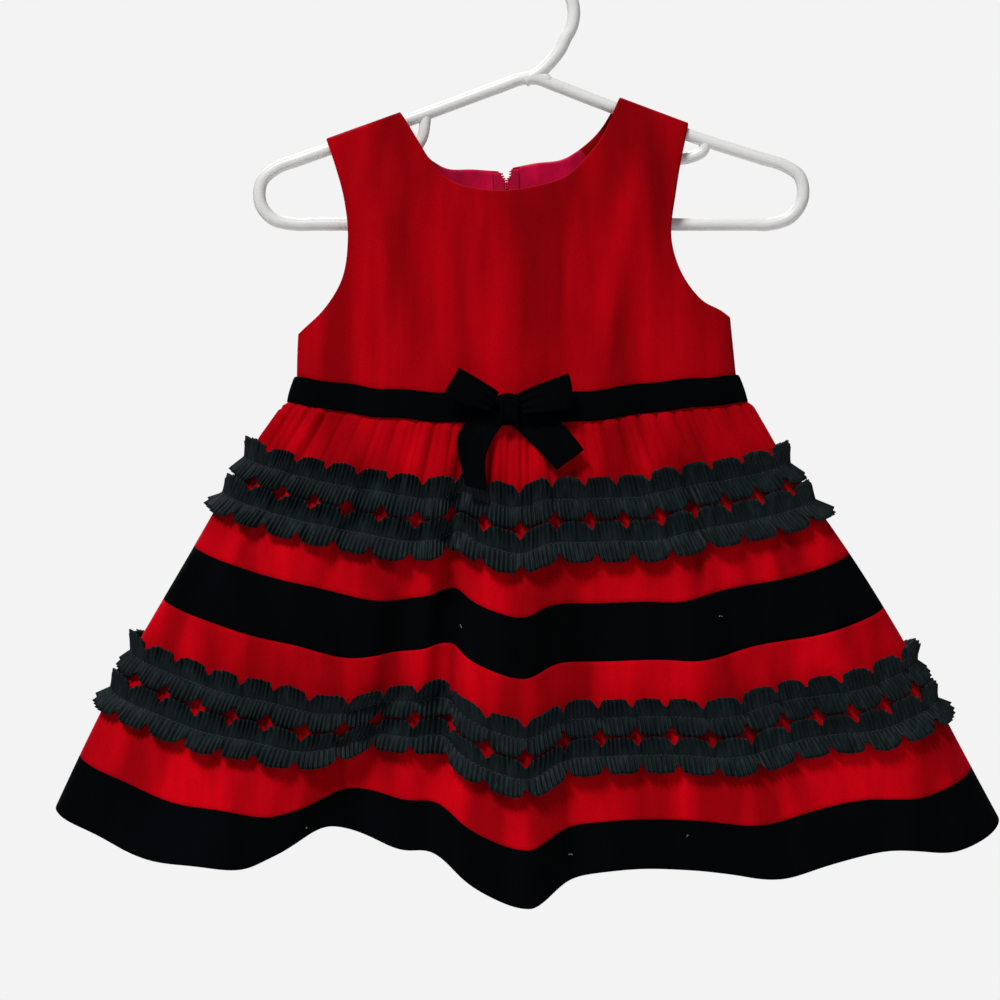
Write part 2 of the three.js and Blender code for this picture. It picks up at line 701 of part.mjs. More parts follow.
// One half of the zip's tape, inside the edge of its back panel.
function zipTapeGeometry(hand) {
  const levels = [ZIP_TAPE_TOP_Z, -108, -115, -122, -128, -150, -185, -210, waistSeamZ(0.5, 1) + HALF_GAP];
  const outer = [[], []];
  const inner = [[], []];
  const hold = (point, i) => {
    outer[i].push(point.clone().setY(point.y - VELVET - SEAM_GAP));
    inner[i].push(point.clone().setY(point.y - VELVET - SEAM_GAP - SATIN));
  };
  for (const z of levels) {
    const edge = z === ZIP_TAPE_TOP_Z ? ZIP_TAPE_TOP_EDGE : HALF_GAP;
    [edge, ZIP_TAPE_HALF_WIDTH].forEach((x, i) => hold(bodiceAt(bodiceCentreX(z) + hand * x, z, 1), i));
  }
  for (const down of [8, ZIP_BELOW_WAIST]) {
    [HALF_GAP, ZIP_TAPE_HALF_WIDTH].forEach((x, i) => {
      const point = skirtPoint(0.75, down / SKIRT_LENGTH);
      hold(point.setX(point.x + hand * x), i);
    });
  }
  return wallGeometry(outer, inner);
}

// A shape in the plane of Y and Z, as thick as the width along X.
function sideShape(shape, width) {
  const geometry = new THREE.ExtrudeGeometry(shape, { depth: width, bevelEnabled: false, curveSegments: 10 });
  geometry.translate(0, 0, -width / 2);
  return geometry.applyMatrix4(
    new THREE.Matrix4().set(0, 0, 1, PULL_AXIS.x, 1, 0, 0, PULL_AXIS.y, 0, 1, 0, PULL_AXIS.z, 0, 0, 0, 1),
  );
}

// The slider: a body on the tape, and the ring that holds the pull.
function zipSliderGeometry() {
  const { halfHeight, near, far, halfWidth } = SLIDER;
  const body = new THREE.Shape([
    new THREE.Vector2(near, -halfHeight),
    new THREE.Vector2(far - 0.6, -halfHeight),
    new THREE.Vector2(far, -halfHeight + 1),
    new THREE.Vector2(far, halfHeight - 1),
    new THREE.Vector2(far - 0.6, halfHeight),
    new THREE.Vector2(near, halfHeight),
  ]);
  const ring = new THREE.Shape().absarc(0, 0, SLIDER.ringOuter, 0, 2 * Math.PI);
  ring.holes.push(new THREE.Path().absarc(0, 0, SLIDER.ringInner, 0, 2 * Math.PI, true));
  return geometryOf(
    solidOf(sideShape(body, 2 * halfWidth)).add(solidOf(sideShape(ring, SLIDER.ringWidth))),
  );
}

// The pull tab hangs from the ring by a bar across its top, and widens to a rounded end.
function zipPullGeometry() {
  const { barHalf, topHalf, endHalf, length, thickness, windowHalf, windowDepth } = PULL;
  const plate = new THREE.Shape();
  plate.moveTo(-topHalf, barHalf);
  plate.lineTo(-endHalf, endHalf - length);
  plate.absarc(0, endHalf - length, endHalf, Math.PI, 2 * Math.PI);
  plate.lineTo(topHalf, barHalf);
  plate.holes.push(
    new THREE.Path([
      new THREE.Vector2(-windowHalf, -barHalf),
      new THREE.Vector2(windowHalf, -barHalf),
      new THREE.Vector2(windowHalf, -windowDepth),
      new THREE.Vector2(-windowHalf, -windowDepth),
    ]),
  );
  const geometry = new THREE.ExtrudeGeometry(plate, { depth: thickness, bevelEnabled: false, curveSegments: 8 });
  geometry.translate(0, 0, -thickness / 2);
  geometry.rotateX(Math.PI / 2);
  return geometry;
}

// Turns between two seams, with half a seam's gap at either end.
function turnsBetween(first, last, columns) {
  return Array.from({ length: columns + 1 }, (_, i) => {
    const turn = first + ((last - first) * i) / columns;
    if (i === 0) return turn + SEAM_TURN;
    return i === columns ? turn - SEAM_TURN : turn;
  });
}

function gatherHeight(turn, down) {
  const column = Math.round((turn - Math.floor(turn)) * 2 * PANEL_COLUMNS);
  const crest = column % 2 === 1 ? 1 : 0;
  return GATHER_HEIGHT * (1 + 0.3 * uneven(column)) * crest * lookUp(GATHERS, "down", "share", down);
}

// A skirt panel between two turns, with a row of points at each level.
function skirtPanel(first, last, levels) {
  const turns = turnsBetween(first, last, Math.round((last - first) * 2 * PANEL_COLUMNS));
  const outer = turns.map((turn) =>
    levels.map((level) => skirtPointOff(turn, level, gatherHeight(turn, level * SKIRT_LENGTH))),
  );
  const inner = turns.map((turn) => levels.map((level) => skirtPointOff(turn, level, -VELVET)));
  return wallGeometry(outer, inner);
}

// Even levels between two seams of the skirt, half a gap inside each.
function levelsBetween(top, bottom, rows) {
  const gap = HALF_GAP / SKIRT_LENGTH;
  const low = top + gap;
  const high = bottom < 1 ? bottom - gap : bottom;
  return Array.from({ length: rows + 1 }, (_, i) => low + ((high - low) * i) / rows);
}

function upperLevels() {
  const gap = HALF_GAP / SKIRT_LENGTH;
  return [gap, ...UPPER_ROWS.map((down) => down / SKIRT_LENGTH), MID_BAND_TOP - gap];
}

// The waist ribbon bridges the waist seam, from the bodice above to the skirt below.
function waistRibbonGeometry() {
  const ends = RIBBON_END_GAP / WAIST_ROUND;
  const turns = [0.75 + ends];
  for (let column = Math.ceil(1.5 * PANEL_COLUMNS) + 1; column < 3.5 * PANEL_COLUMNS; column += 1) {
    const fromSide = Math.min(column % PANEL_COLUMNS, PANEL_COLUMNS - (column % PANEL_COLUMNS));
    if (fromSide < 5 || column % 2 === 0) turns.push(column / (2 * PANEL_COLUMNS));
  }
  turns.push(1.75 - ends);
  const edges = (off) =>
    turns.map((turn) => {
      const { across, depth, side } = placeRound(turn);
      const z = waistSeamZ(across, side) + WAIST_RIBBON_HALF;
      const normal = skirtNormal(turn, 0.01).setZ(0).normalize();
      const top = bodicePoint(across, depth, side, z).addScaledVector(normal, off);
      return [top, skirtPointOff(turn, WAIST_RIBBON_HALF / SKIRT_LENGTH, off)];
    });
  return wallGeometry(edges(WAIST_RIBBON_OFF + RIBBON), edges(WAIST_RIBBON_OFF));
}

// A pleated ribbon round the skirt: scalloped edges that stand off, and a crease stitched down between them.
function trimGeometry({ level, half, scallops }) {
  const turns = turnsBetween(0.75, 1.75, scallops * COLUMNS_PER_SCALLOP);
  const section = (lift) =>
    turns.map((turn, i) => {
      const notch = i % COLUMNS_PER_SCALLOP === 0 ? SCALLOP_DEPTH : 0.5 * Math.abs(uneven(i));
      const reach = (half - notch) / SKIRT_LENGTH;
      return [
        skirtPointOff(turn, level - reach, TRIM_EDGE_OFF + lift),
        skirtPointOff(turn, level, TRIM_CREASE_OFF + lift),
        skirtPointOff(turn, level + reach, TRIM_EDGE_OFF + lift),
      ];
    });
  return wallGeometry(section(TAFFETA), section(0));
}

// A loop of the bow: a ribbon folded over, wider at its tip than at the knot.
function bowLoopGeometry({ root, tip, rootHalf, tipHalf }) {
  const start = new THREE.Vector3(root.x, BOW_Y, root.z);
  const along = new THREE.Vector3(tip.x, BOW_Y, tip.z).sub(start);
  const reach = along.length() / 2;
  along.normalize();
  const wide = new THREE.Vector3(-along.z, 0, along.x);
  const edges = (inset) =>
    Array.from({ length: LOOP_COLUMNS }, (_, i) => {
      const angle = (2 * Math.PI * i) / LOOP_COLUMNS;
      const share = (1 - Math.cos(angle) * ((reach - inset) / reach)) / 2;
      const middle = start.clone().addScaledVector(along, 2 * reach * share);
      middle.y += (BOW_LOOP_DEPTH / 2 - inset) * Math.sin(angle);
      const half = rootHalf + (tipHalf - rootHalf) * share;
      return [middle.clone().addScaledVector(wide, half), middle.clone().addScaledVector(wide, -half)];
    });
  return wallGeometry(edges(0), edges(RIBBON), true);
}

// A tail of the bow: a flat ribbon through its sections, crowned a little along its middle.
function bowTailGeometry(sections) {
  const rows = (off) =>
    sections.map(({ x, y, z, halfX, halfZ }) =>
      [-1, 0, 1].map((k) => new THREE.Vector3(x + k * halfX, y + off - (k === 0 ? 0.6 : 0), z + k * halfZ)),
    );
  return wallGeometry(rows(0), rows(RIBBON));
}

function bowKnotGeometry() {
  const geometry = new THREE.SphereGeometry(1, 12, 7);
  const position = geometry.attributes.position;
  const rounded = (value) => Math.sign(value) * Math.abs(value) ** 0.6;
  for (let i = 0; i < position.count; i += 1) {
    position.setXYZ(
      i,
      KNOT.x + KNOT.halfWidth * rounded(position.getX(i)),
      KNOT.y + KNOT.halfDepth * rounded(position.getZ(i)),
      KNOT.z - KNOT.halfHeight * rounded(position.getY(i)),
    );
  }
  return geometryOf(solidOf(geometry));
}

const dress = new THREE.Group();

function addPiece(name, geometry, pieceMaterial, group = dress) {
  const mesh = new THREE.Mesh(geometry, pieceMaterial);
  mesh.name = name;
  group.add(mesh);
  return mesh;
}

function addBodice() {
  addPiece("bodice_front", bodiceFrontGeometry(), RED_VELVET);
  addPiece("bodice_back_left", bodiceBackGeometry(-1), RED_VELVET);
  addPiece("bodice_back_right", bodiceBackGeometry(1), RED_VELVET);
  addPiece("neck_lining_left", neckLiningGeometry(-1), LINING_SATIN);
  addPiece("neck_lining_right", neckLiningGeometry(1), LINING_SATIN);
}

function addZip() {
  addPiece("zip_tape_left", zipTapeGeometry(-1), ZIP_PAINT);
  addPiece("zip_tape_right", zipTapeGeometry(1), ZIP_PAINT);
  addPiece("zip_slider", zipSliderGeometry(), ZIP_PAINT);
  const pull = addPiece("zip_pull", zipPullGeometry(), ZIP_PAINT);
  pull.position.set(PULL_AXIS.x, PULL_AXIS.y, PULL_AXIS.z);
}

function addSkirt() {
  const upper = upperLevels();
  const midBand = levelsBetween(MID_BAND_TOP, MID_BAND_BOTTOM, 1);
  const lower = levelsBetween(MID_BAND_BOTTOM, HEM_BAND_TOP, 2);
  const hemBand = levelsBetween(HEM_BAND_TOP, 1, 1);
  addPiece("skirt_upper_front", skirtPanel(0, 0.5, upper), RED_VELVET);
  addPiece("skirt_upper_back_right", skirtPanel(0.5, 0.75, upper), RED_VELVET);
  addPiece("skirt_upper_back_left", skirtPanel(0.75, 1, upper), RED_VELVET);
  addPiece("mid_band_front", skirtPanel(0, 0.5, midBand), BLACK_VELVET);
  addPiece("mid_band_back", skirtPanel(0.5, 1, midBand), BLACK_VELVET);
  addPiece("skirt_lower_front", skirtPanel(0, 0.5, lower), RED_VELVET);
  addPiece("skirt_lower_back", skirtPanel(0.5, 1, lower), RED_VELVET);
  addPiece("hem_band_front", skirtPanel(0, 0.5, hemBand), BLACK_VELVET);
  addPiece("hem_band_back", skirtPanel(0.5, 1, hemBand), BLACK_VELVET);
}

function addTrims() {
  for (const trim of TRIMS) addPiece(trim.name, trimGeometry(trim), SLATE_TAFFETA);
  addPiece("waist_ribbon", waistRibbonGeometry(), BLACK_VELVET);
}

function addBow() {
  addPiece("bow_loop_left", bowLoopGeometry(LEFT_LOOP), BLACK_VELVET);
  addPiece("bow_loop_right", bowLoopGeometry(RIGHT_LOOP), BLACK_VELVET);
  addPiece("bow_tail_left", bowTailGeometry(LEFT_TAIL), BLACK_VELVET);
  addPiece("bow_tail_right", bowTailGeometry(RIGHT_TAIL), BLACK_VELVET);
  addPiece("bow_knot", bowKnotGeometry(), BLACK_VELVET);
}

addPiece("hanger", hangerGeometry(), HANGER_PLASTIC);
addBodice();
addZip();
addSkirt();
addTrims();
addBow();

export default dress;
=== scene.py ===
"""Finishes a toddler's party dress on its hanger: velvet, pleated taffeta trims, ribbon bow, zip and stage.

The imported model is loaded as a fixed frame. Each piece of cloth is made again here as a fine thin
shell on the same form, in the same place, and takes over from its plain solid.
Lengths in the tables are millimetres; MM turns them into Blender's metres.
"""

import math

import bmesh
import bpy
import numpy as np
from bpy.props import FloatProperty, FloatVectorProperty, IntProperty, PointerProperty
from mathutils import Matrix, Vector, geometry


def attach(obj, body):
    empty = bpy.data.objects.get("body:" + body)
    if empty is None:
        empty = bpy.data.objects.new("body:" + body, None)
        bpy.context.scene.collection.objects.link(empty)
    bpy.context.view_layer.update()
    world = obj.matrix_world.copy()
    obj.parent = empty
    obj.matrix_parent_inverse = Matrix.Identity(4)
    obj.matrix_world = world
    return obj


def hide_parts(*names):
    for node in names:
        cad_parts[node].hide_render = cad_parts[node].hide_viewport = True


bl_info = {
    "name": "Toddler party dress",
    "version": (1, 0, 0),
    "blender": (4, 5, 0),
    "location": "3D View > Sidebar > Dress",
    "description": "Makes the cloth, trims, bow, zip and hanger of a toddler's party dress",
    "category": "Object",
}

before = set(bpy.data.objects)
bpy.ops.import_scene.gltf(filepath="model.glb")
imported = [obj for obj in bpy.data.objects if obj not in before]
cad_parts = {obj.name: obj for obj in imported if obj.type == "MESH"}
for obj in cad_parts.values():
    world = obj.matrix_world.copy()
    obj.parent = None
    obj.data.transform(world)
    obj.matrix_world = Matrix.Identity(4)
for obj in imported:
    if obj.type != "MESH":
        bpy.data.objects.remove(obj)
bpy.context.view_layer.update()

MM = 0.001
DRESS = "dress"
PULL = "pull"
CENTRE_BACK = 0.75

# Body of the dress: half widths, half depths and heights
WAIST_HALF_WIDTH = 119
WAIST_CENTRE_X = -8
WAIST_SEAM_Z = -224
WAIST_DEPTH = 21
CHEST_HALF_WIDTH = 117
NECK_CENTRE_X = -15.5
SHOULDER_Z = -75
ROUNDNESS = 0.85
SECTION_RATIO = 0.2
HALF_GAP = 0.15
SEAM_TURN = 0.00002
SEAM_SHARE = 0.0006
MIDDLE_SHARE = 0.4975
EDGE_BULGE = 0.5
EDGE_TEST = 0.5
CLEAR_OF_EDGE = 0.55
SAME_PLACE = 0.05

# Waist seam: place across the front, and how far it hangs below its ends
WAIST_SAG = np.array([(0, 0), (0.18, 6.5), (0.4, 10), (0.5, 10.6), (0.65, 8.5), (0.8, 3.5), (1, -1)])

# Shoulder line over the hanger's arms: x, z
SHOULDER_LINE = np.array(
    [(-135, -95), (-110.7, -86.4), (-71.3, -72.4), (47.5, -64.6), (84.2, -78.4), (115, -90)]
)

# Bodice from the shoulder seam down: distance, wrap over the hanger's arm, fullness of the chest
BODICE_PROFILE = np.array(
    [
        (0, 0, 0),
        (0.5, 2.2, 0),
        (1.9, 4.1, 0.1),
        (4, 5.2, 0.4),
        (8, 5.6, 1.4),
        (18, 5.6, 4.2),
        (34, 5.6, 8.2),
        (56, 5.4, 12),
        (84, 4.2, 15.4),
        (116, 2, 18.6),
        (160, 0, WAIST_DEPTH),
    ]
)

# Length of cloth down from the shoulder seam for each distance down, and round half the body
DOWN = np.concatenate([np.linspace(0, 8, 60), np.linspace(8.5, 240, 300)])
WRAP_DOWN = np.interp(DOWN, BODICE_PROFILE[:, 0], BODICE_PROFILE[:, 1])
CLOTH_DOWN = np.concatenate([[0], np.cumsum(np.hypot(np.diff(DOWN), np.diff(WRAP_DOWN)))])
BODICE_ROUND = 262
BODICE_LENGTH = 160
PANEL_STEP = 1.9
LINE_STEPS = 24
LINING_STEP = 1.6

# Soft upright ripples of the bodice front: x at the shoulder, x at the waist, width, how far out
BODICE_RIPPLES = [
    (-104, -108, 8, 1.2),
    (-83, -87, 9, -1.5),
    (-62, -69, 9, 1.7),
    (-42, -53, 9, -1.8),
    (-16, -33, 10, 1.7),
    (9, -5, 10, -1.8),
    (26, 21, 9, 1.4),
    (64, 34, 7, 2.8),
    (78, 54, 8, -2.2),
    (86, 96, 9, 1.5),
]

# Edges of the bodice as seen from the front: x, z
LEFT_ARMHOLE = [
    (-110.7, -87.2), (-105, -104), (-100.5, -121), (-98.3, -141.8),
    (-101.5, -164), (-111.8, -180.5), (-126, -193),
]
RIGHT_ARMHOLE = [
    (84.2, -78.6), (80.2, -97), (76.8, -116), (74, -141.8), (79.9, -161.5), (91, -175.5),
    (101.5, -180.6), (107.6, -184.2), (110.5, -185.5),
]
FRONT_NECKLINE = [
    (-71.3, -73), (-63, -87), (-54, -101.5), (-44, -111.5), (-29, -116), (-14, -116.9),
    (4, -114), (18.4, -109), (28, -100), (38, -87), (47.5, -65),
]
BACK_NECKLINE_LEFT = [(-71.3, -73), (-63, -87), (-55, -97.5), (-46, -102.2), (-32, -102.6), (-18.4, -103.6)]
BACK_NECKLINE_RIGHT = [(-10.2, -101.6), (2, -99.2), (16, -97.4), (26, -92), (37, -82), (47.5, -65)]

# Centre back opening: height and half its width. Its tape meets a little below the neck, where it is zipped.
ZIP_OPENING = np.array([(-90, 4.2), (-104, 4.1), (-122, 3.2), (-128, 0.6), (-260, 0.6)])
ZIP_TAPE_EDGE = np.array([(-101, 3.2), (-106.4, 2.6), (-108, 0.8), (-260, 0.8)])

ZIP_TAPE_HALF_WIDTH = 7
ZIP_TAPE_BELOW_NECK = 0.6
ZIP_PAST_SEAM = 4
ZIP_BELOW_WAIST = 24
TAPE_INSIDE = 1.9
TAPE_THICKNESS = 0.8
TOOTH_PITCH = 1.4
TOOTH_HALF = (0.75, 0.75, 0.46)
LINING_DEPTH = 52
LINING_FROM_ZIP = 7.6
LINING_SIDE = 20
LINING_GAP = 0.5

# Skirt from the waist seam to the hem
WAIST_ROUND = 500
HEM_ROUND = 1130
ROW_STEP = 2.4
HEM_HALF_WIDTH = 254
HEM_CENTRE_X = -2.3
SIDE_BULGE = 7
HEM_DEPTH = {"front": 50, "back": 44}
HEM_SAG = {"front": 28, "back": 12}
HEM_SIDE_Z = -450
SKIRT_LENGTH = 262
SIDE_RISE = 0.045
SIDE_TILT = 3
MID_BAND_TOP = 0.42
MID_BAND_BOTTOM = 0.546
HEM_BAND_TOP = 0.893
FOLD_GROWTH = 1.25
HEM_DROP_GROWTH = 3
FOLD_LEVELS = (0.45, 0.95)

# Folds: crest's place at the middle level and at the hem level, its widths left and right,
# how far it stands out, how far it lowers the middle and the hem
FRONT_FOLDS = [
    (0.15, 0.11, 0.05, 0.05, 4, 0, 7),
    (0.28, 0.2, 0.06, 0.05, 9, 3, 6),
    (0.37, 0.305, 0.05, 0.08, -10, 0, -20),
    (0.4, 0.4, 0.025, 0.025, -6, -6, -7),
    (0.5, 0.5, 0.065, 0.032, 14, 6.5, 16),
    (0.63, 0.62, 0.05, 0.06, -6, 1, -2),
    (0.735, 0.755, 0.05, 0.045, 9, 3, 5),
    (0.82, 0.865, 0.04, 0.04, -4, 0, -2),
    (0.9, 0.95, 0.04, 0.05, 3, 0, 5),
]
BACK_FOLDS = [
    (0.2, 0.15, 0.05, 0.05, 8, 1, 4),
    (0.32, 0.29, 0.05, 0.05, -9, -4, -10),
    (0.43, 0.42, 0.04, 0.055, 9, 3, 5),
    (0.55, 0.55, 0.05, 0.04, -6, -1, -4),
    (0.66, 0.68, 0.05, 0.05, 11, 4, 6),
    (0.78, 0.82, 0.05, 0.05, -7, -1, -4),
]

# Gathers under the waist ribbon: distance below the seam, and the share of their full height
GATHER_COUNT = 54
COLUMNS_PER_GATHER = 12
GATHER_SINK = 0.35
GATHER_FULL_DOWN = 13
FURROW_WIDTH = 0.09
CALM_HALF_WIDTH = 8
CALM_FADE = 14
GATHERS = np.array([(0, 0), (7, 0), (9, 0.45), (13, 1), (24, 0.72), (42, 0.3), (60, 0.12), (90, 0)])

# How strongly the skirt is gathered round the waist: turn and share
GATHER_ZONES = np.array(
    [(0, 0.7), (0.05, 0.9), (0.1, 0.45), (0.15, 0.6), (0.2, 0.9), (0.27, 1.1), (0.36, 1), (0.43, 0.75),
     (0.5, 0.8), (0.6, 1), (0.7, 0.8), (0.8, 0.8), (0.9, 1), (1, 0.7)]
)

# Narrow creases of the skirt: turn at the top and at the bottom, first and last level, width, how far out
CREASES = [
    (0.192, 0.206, 0.1, 0.88, 5.5, -6.5),
    (0.208, 0.224, 0.12, 0.88, 7, 2.6),
    (0.178, 0.19, 0.08, 0.6, 6, 1.2),
    (0.401, 0.374, 0.1, 0.42, 3.2, -3),
    (0.41, 0.385, 0.1, 0.42, 4.5, 1.4),
    (0.355, 0.345, 0.05, 0.34, 3, -1.8),
    (0.143, 0.15, 0.02, 0.3, 4, -1.8),
    (0.118, 0.11, 0.2, 0.5, 4, -1.4),
    (0.44, 0.436, 0.04, 0.5, 3.5, -1.6),
    (0.055, 0.05, 0.05, 0.5, 3.5, -1.6),
    (0.3, 0.29, 0.25, 0.7, 6, -1.8),
    (0.275, 0.272, 0.6, 1.1, 7, -1.8),
    (0.33, 0.345, 0.6, 1.1, 7, 1.4),
    (0.13, 0.12, 0.6, 1.1, 7, -1.6),
    (0.42, 0.43, 0.6, 1.1, 6, -1.6),
    (0.56, 0.555, 0.08, 0.6, 3.5, -2.2),
    (0.64, 0.63, 0.1, 0.9, 5, -2.4),
    (0.69, 0.68, 0.06, 0.5, 3.5, -1.6),
    (0.81, 0.82, 0.1, 0.6, 4, -2.2),
    (0.88, 0.895, 0.3, 1.1, 6, -2.2),
    (0.95, 0.965, 0.1, 0.5, 3.5, -1.6),
]

# Pleated trims: piece, level of the stitched crease, half its width, scallops round the skirt,
# and which edge lies against the tier's other ribbon, 1 for the lower one
TRIMS = [
    ("trim_upper_top", 0.197, 12, 36, 1),
    ("trim_upper_bottom", 0.29, 12, 36, -1),
    ("trim_lower_top", 0.6695, 10.6, 48, 1),
    ("trim_lower_bottom", 0.7525, 10.6, 48, -1),
]
TRIM_INNER_SHARE = 0.5
TRIM_CREASE_OFF = 0.8
TRIM_EDGE_OFF = 5.2
NOTCH_SHARE = 0.17
ARC_SHARE = 0.35
COLUMNS_PER_PLEAT = 6
TRIM_ROWS = np.array([-1, -0.82, -0.6, -0.38, -0.18, -0.06, 0, 0.06, 0.18, 0.38, 0.6, 0.82, 1])
STITCH_SIDES = 4
STITCH_RADIUS = 0.22

# Waist ribbon
WAIST_RIBBON_HALF = 7.8
WAIST_RIBBON_OFF = 0.45
RIBBON_END_GAP = 5

# Skirt panels: piece, first and last turn, top and bottom level, cloth
PANELS = [
    ("skirt_upper_front", 0, 0.5, 0, MID_BAND_TOP, "red_velvet"),
    ("skirt_upper_back_right", 0.5, 0.75, 0, MID_BAND_TOP, "red_velvet"),
    ("skirt_upper_back_left", 0.75, 1, 0, MID_BAND_TOP, "red_velvet"),
    ("mid_band_front", 0, 0.5, MID_BAND_TOP, MID_BAND_BOTTOM, "black_velvet"),
    ("mid_band_back", 0.5, 1, MID_BAND_TOP, MID_BAND_BOTTOM, "black_velvet"),
    ("skirt_lower_front", 0, 0.5, MID_BAND_BOTTOM, HEM_BAND_TOP, "red_velvet"),
    ("skirt_lower_back", 0.5, 1, MID_BAND_BOTTOM, HEM_BAND_TOP, "red_velvet"),
    ("hem_band_front", 0, 0.5, HEM_BAND_TOP, 1, "black_velvet"),
    ("hem_band_back", 0.5, 1, HEM_BAND_TOP, 1, "black_velvet"),
]

# Bow on the front of the waist ribbon
BOW_Y = -29.9
BOW_LOOP_DEPTH = 7
KNOT = {"centre": (-12.6, -29.9, -232.8), "half": (5.2, 3.7, 7.2)}
LOOPS = {
    "bow_loop_left": {"root": (-20, -230), "tip": (-43.5, -220), "root_half": 5.2, "tip_half": 8.8},
    "bow_loop_right": {"root": (-6.6, -231), "tip": (20.8, -224.4), "root_half": 5.2, "tip_half": 9.2},
}
# Tails: x, y, z of the middle, then half the width along x and z
TAILS = {
    "bow_tail_left": [
        (-18.5, -25.3, -234, 8.6, -1),
        (-26.8, -26.4, -243, 9.6, -0.5),
        (-31.2, -29.6, -251, 8.8, -0.4),
        (-31.9, -34, -261, 6.6, 0),
        (-30, -35.6, -276, 5.4, 0.4),
    ],
    "bow_tail_right": [
        (-9.5, -25.3, -234, 6, 4.4),
        (2.2, -25.9, -242, 8, 4.8),
        (11.4, -29.4, -251, 7.8, 5.6),
        (20, -31, -261, 7, 6.8),
    ],
}

# Hanger: tube routes as x, z
TUBE_RADIUS = 3.4
LOOP_RADIUS = 3.0
HOOK_RADIUS = 22.6
HOOK_CENTRE_Z = -(HOOK_RADIUS - TUBE_RADIUS)
BAR_Z = -133.4
HANGER_FRAME = [
    (9, -55.5), (-4, -54.6), (-20, -60), (-55, -72.9), (-111, -93.2), (-126, -98.6), (-137.5, -102.8),
    (-146, -110.5), (-146.6, -122), (-140, -130.5), (-128, BAR_Z), (-118, BAR_Z), (0, BAR_Z), (118, BAR_Z),
    (128, BAR_Z), (139.5, -129.5), (146, -119.5), (144.6, -107.8), (136, -101.6), (124, -97.8), (84, -85),
    (42, -69.6), (0, -53),
]
HOOK_STEM = [(-4, -56), (5, -50.5), (14.5, -40)]
HOOK_FROM = -36
HOOK_TO = 155.75
HANGER_SIDES = 24
TIP_STATIONS = 8
STRAP_LOOP = [(57, -73), (60, -88), (69, -97), (82, -98), (92, -94), (94, -87.5)]

# Zip slider and pull: the pull turns about a line along X through this point
PULL_AXIS = (-13.6, 18.6, -113)
PULL_SHAPE = {
    "bar_half": 0.4, "top_half": 2, "end_half": 2.3, "length": 14, "thickness": 0.7,
    "window_half": 1.2, "window_depth": 3.2,
}
SLIDER = {
    "half_height": 4.2, "near": -4.1, "far": -1.9, "half_width": 2.4,
    "ring_middle": 1.55, "ring_half": 0.5, "ring_width": 1.5,
}

# Fibres on the pile: turn, level, length, heading, curl
LINT = [
    (0.27, 0.95, 3.2, 0.4, 1.8),
    (0.33, 0.93, 2.2, -0.7, 2.4),
    (0.14, 0.96, 2.6, 1.2, -2.0),
    (0.38, 0.47, 2.4, 0.2, 2.0),
    (0.21, 0.49, 1.8, 0.9, -1.4),
    (0.62, 0.94, 2.8, 0.3, 1.9),
    (0.86, 0.48, 2.2, -0.4, 2.2),
]
LINT_OFF = 0.25
LINT_RADIUS = 0.11

# Points along the edges of the bodice's patterns
EDGE_POINTS = {"waist": 40, "armhole": 50, "front_neck": 70, "back_neck": 45, "lining": 40, "zip": 60}

# Columns and rows of the ribbons' grids, and stations along the hanger's tubes
RIBBON_GRID = (540, 11)
LOOP_GRID = (72, 17)
KNOT_GRID = (80, 23)
TAIL_GRID = (48, 15)
TAPE_GRID = (90, 7)
TAPE_ROWS_BELOW = 10
HANGER_STATIONS = {"frame": 460, "hook": 150, "strap_loop": 90}

# Painted shade on the velvet, darker going up from the hem to the shoulders to stand for how the light falls
# there: lowest and highest place in metres, and the tone on the way up
PAINTED_SHADE_FROM = -0.46
PAINTED_SHADE_TO = -0.09
PAINTED_SHADE_TONES = [(0, 1.0), (0.45, 0.9), (0.8, 0.8), (1, 0.62)]

# View: middle of the picture, and the camera's sensor
VIEW_MIDDLE = (-17.3, -282.2)
SENSOR_WIDTH = 36

# Soft lights: name, place, width and height in metres, share of the stage's light
LIT_MIDDLE = (0, 0, -0.28)
LIGHTS = [
    ("key", (-1.7, -2.7, 3.8), 1.5, 1.0, 7),
    ("fill", (1.8, -2.2, 0.2), 1.4, 1.4, 0.2),
    ("back", (-0.9, 2.9, 2.4), 1.6, 1.2, 4),
]

# Room and floor: the room's light and its tone as seen, the floor's radius in metres, and where it fades
ROOM_LIGHT = 0.12
ROOM_TONE = 0.896
FLOOR_RADIUS = 3
FLOOR_SIDES = 96
FLOOR_FADE = 0.6


# Sizes and colours that a user may change

class DressSizes(bpy.types.PropertyGroup):
    """Sizes of the cloth and its trims."""

    velvet: FloatProperty(
        name="Velvet thickness", description="Thickness of the velvet panels", default=0.0014, unit="LENGTH"
    )
    ribbon: FloatProperty(
        name="Ribbon thickness", description="Thickness of the waist ribbon and bow",
        default=0.0011, unit="LENGTH",
    )
    taffeta: FloatProperty(
        name="Taffeta thickness", description="Thickness of the pleated trims", default=0.0005, unit="LENGTH"
    )
    satin: FloatProperty(
        name="Lining thickness", description="Thickness of the neck lining", default=0.0006, unit="LENGTH"
    )
    gather: FloatProperty(
        name="Gather height", description="How far the gathers stand out", default=0.0036, unit="LENGTH"
    )
    pleat: FloatProperty(
        name="Pleat height", description="Height of the trims' pleats", default=0.0012, unit="LENGTH"
    )
    pleats_per_scallop: IntProperty(
        name="Pleats in a scallop", description="Pleats in each scallop of a trim", default=8, min=2
    )
    scallop: FloatProperty(
        name="Scallop depth", description="Depth of the notches between scallops",
        default=0.005, unit="LENGTH",
    )


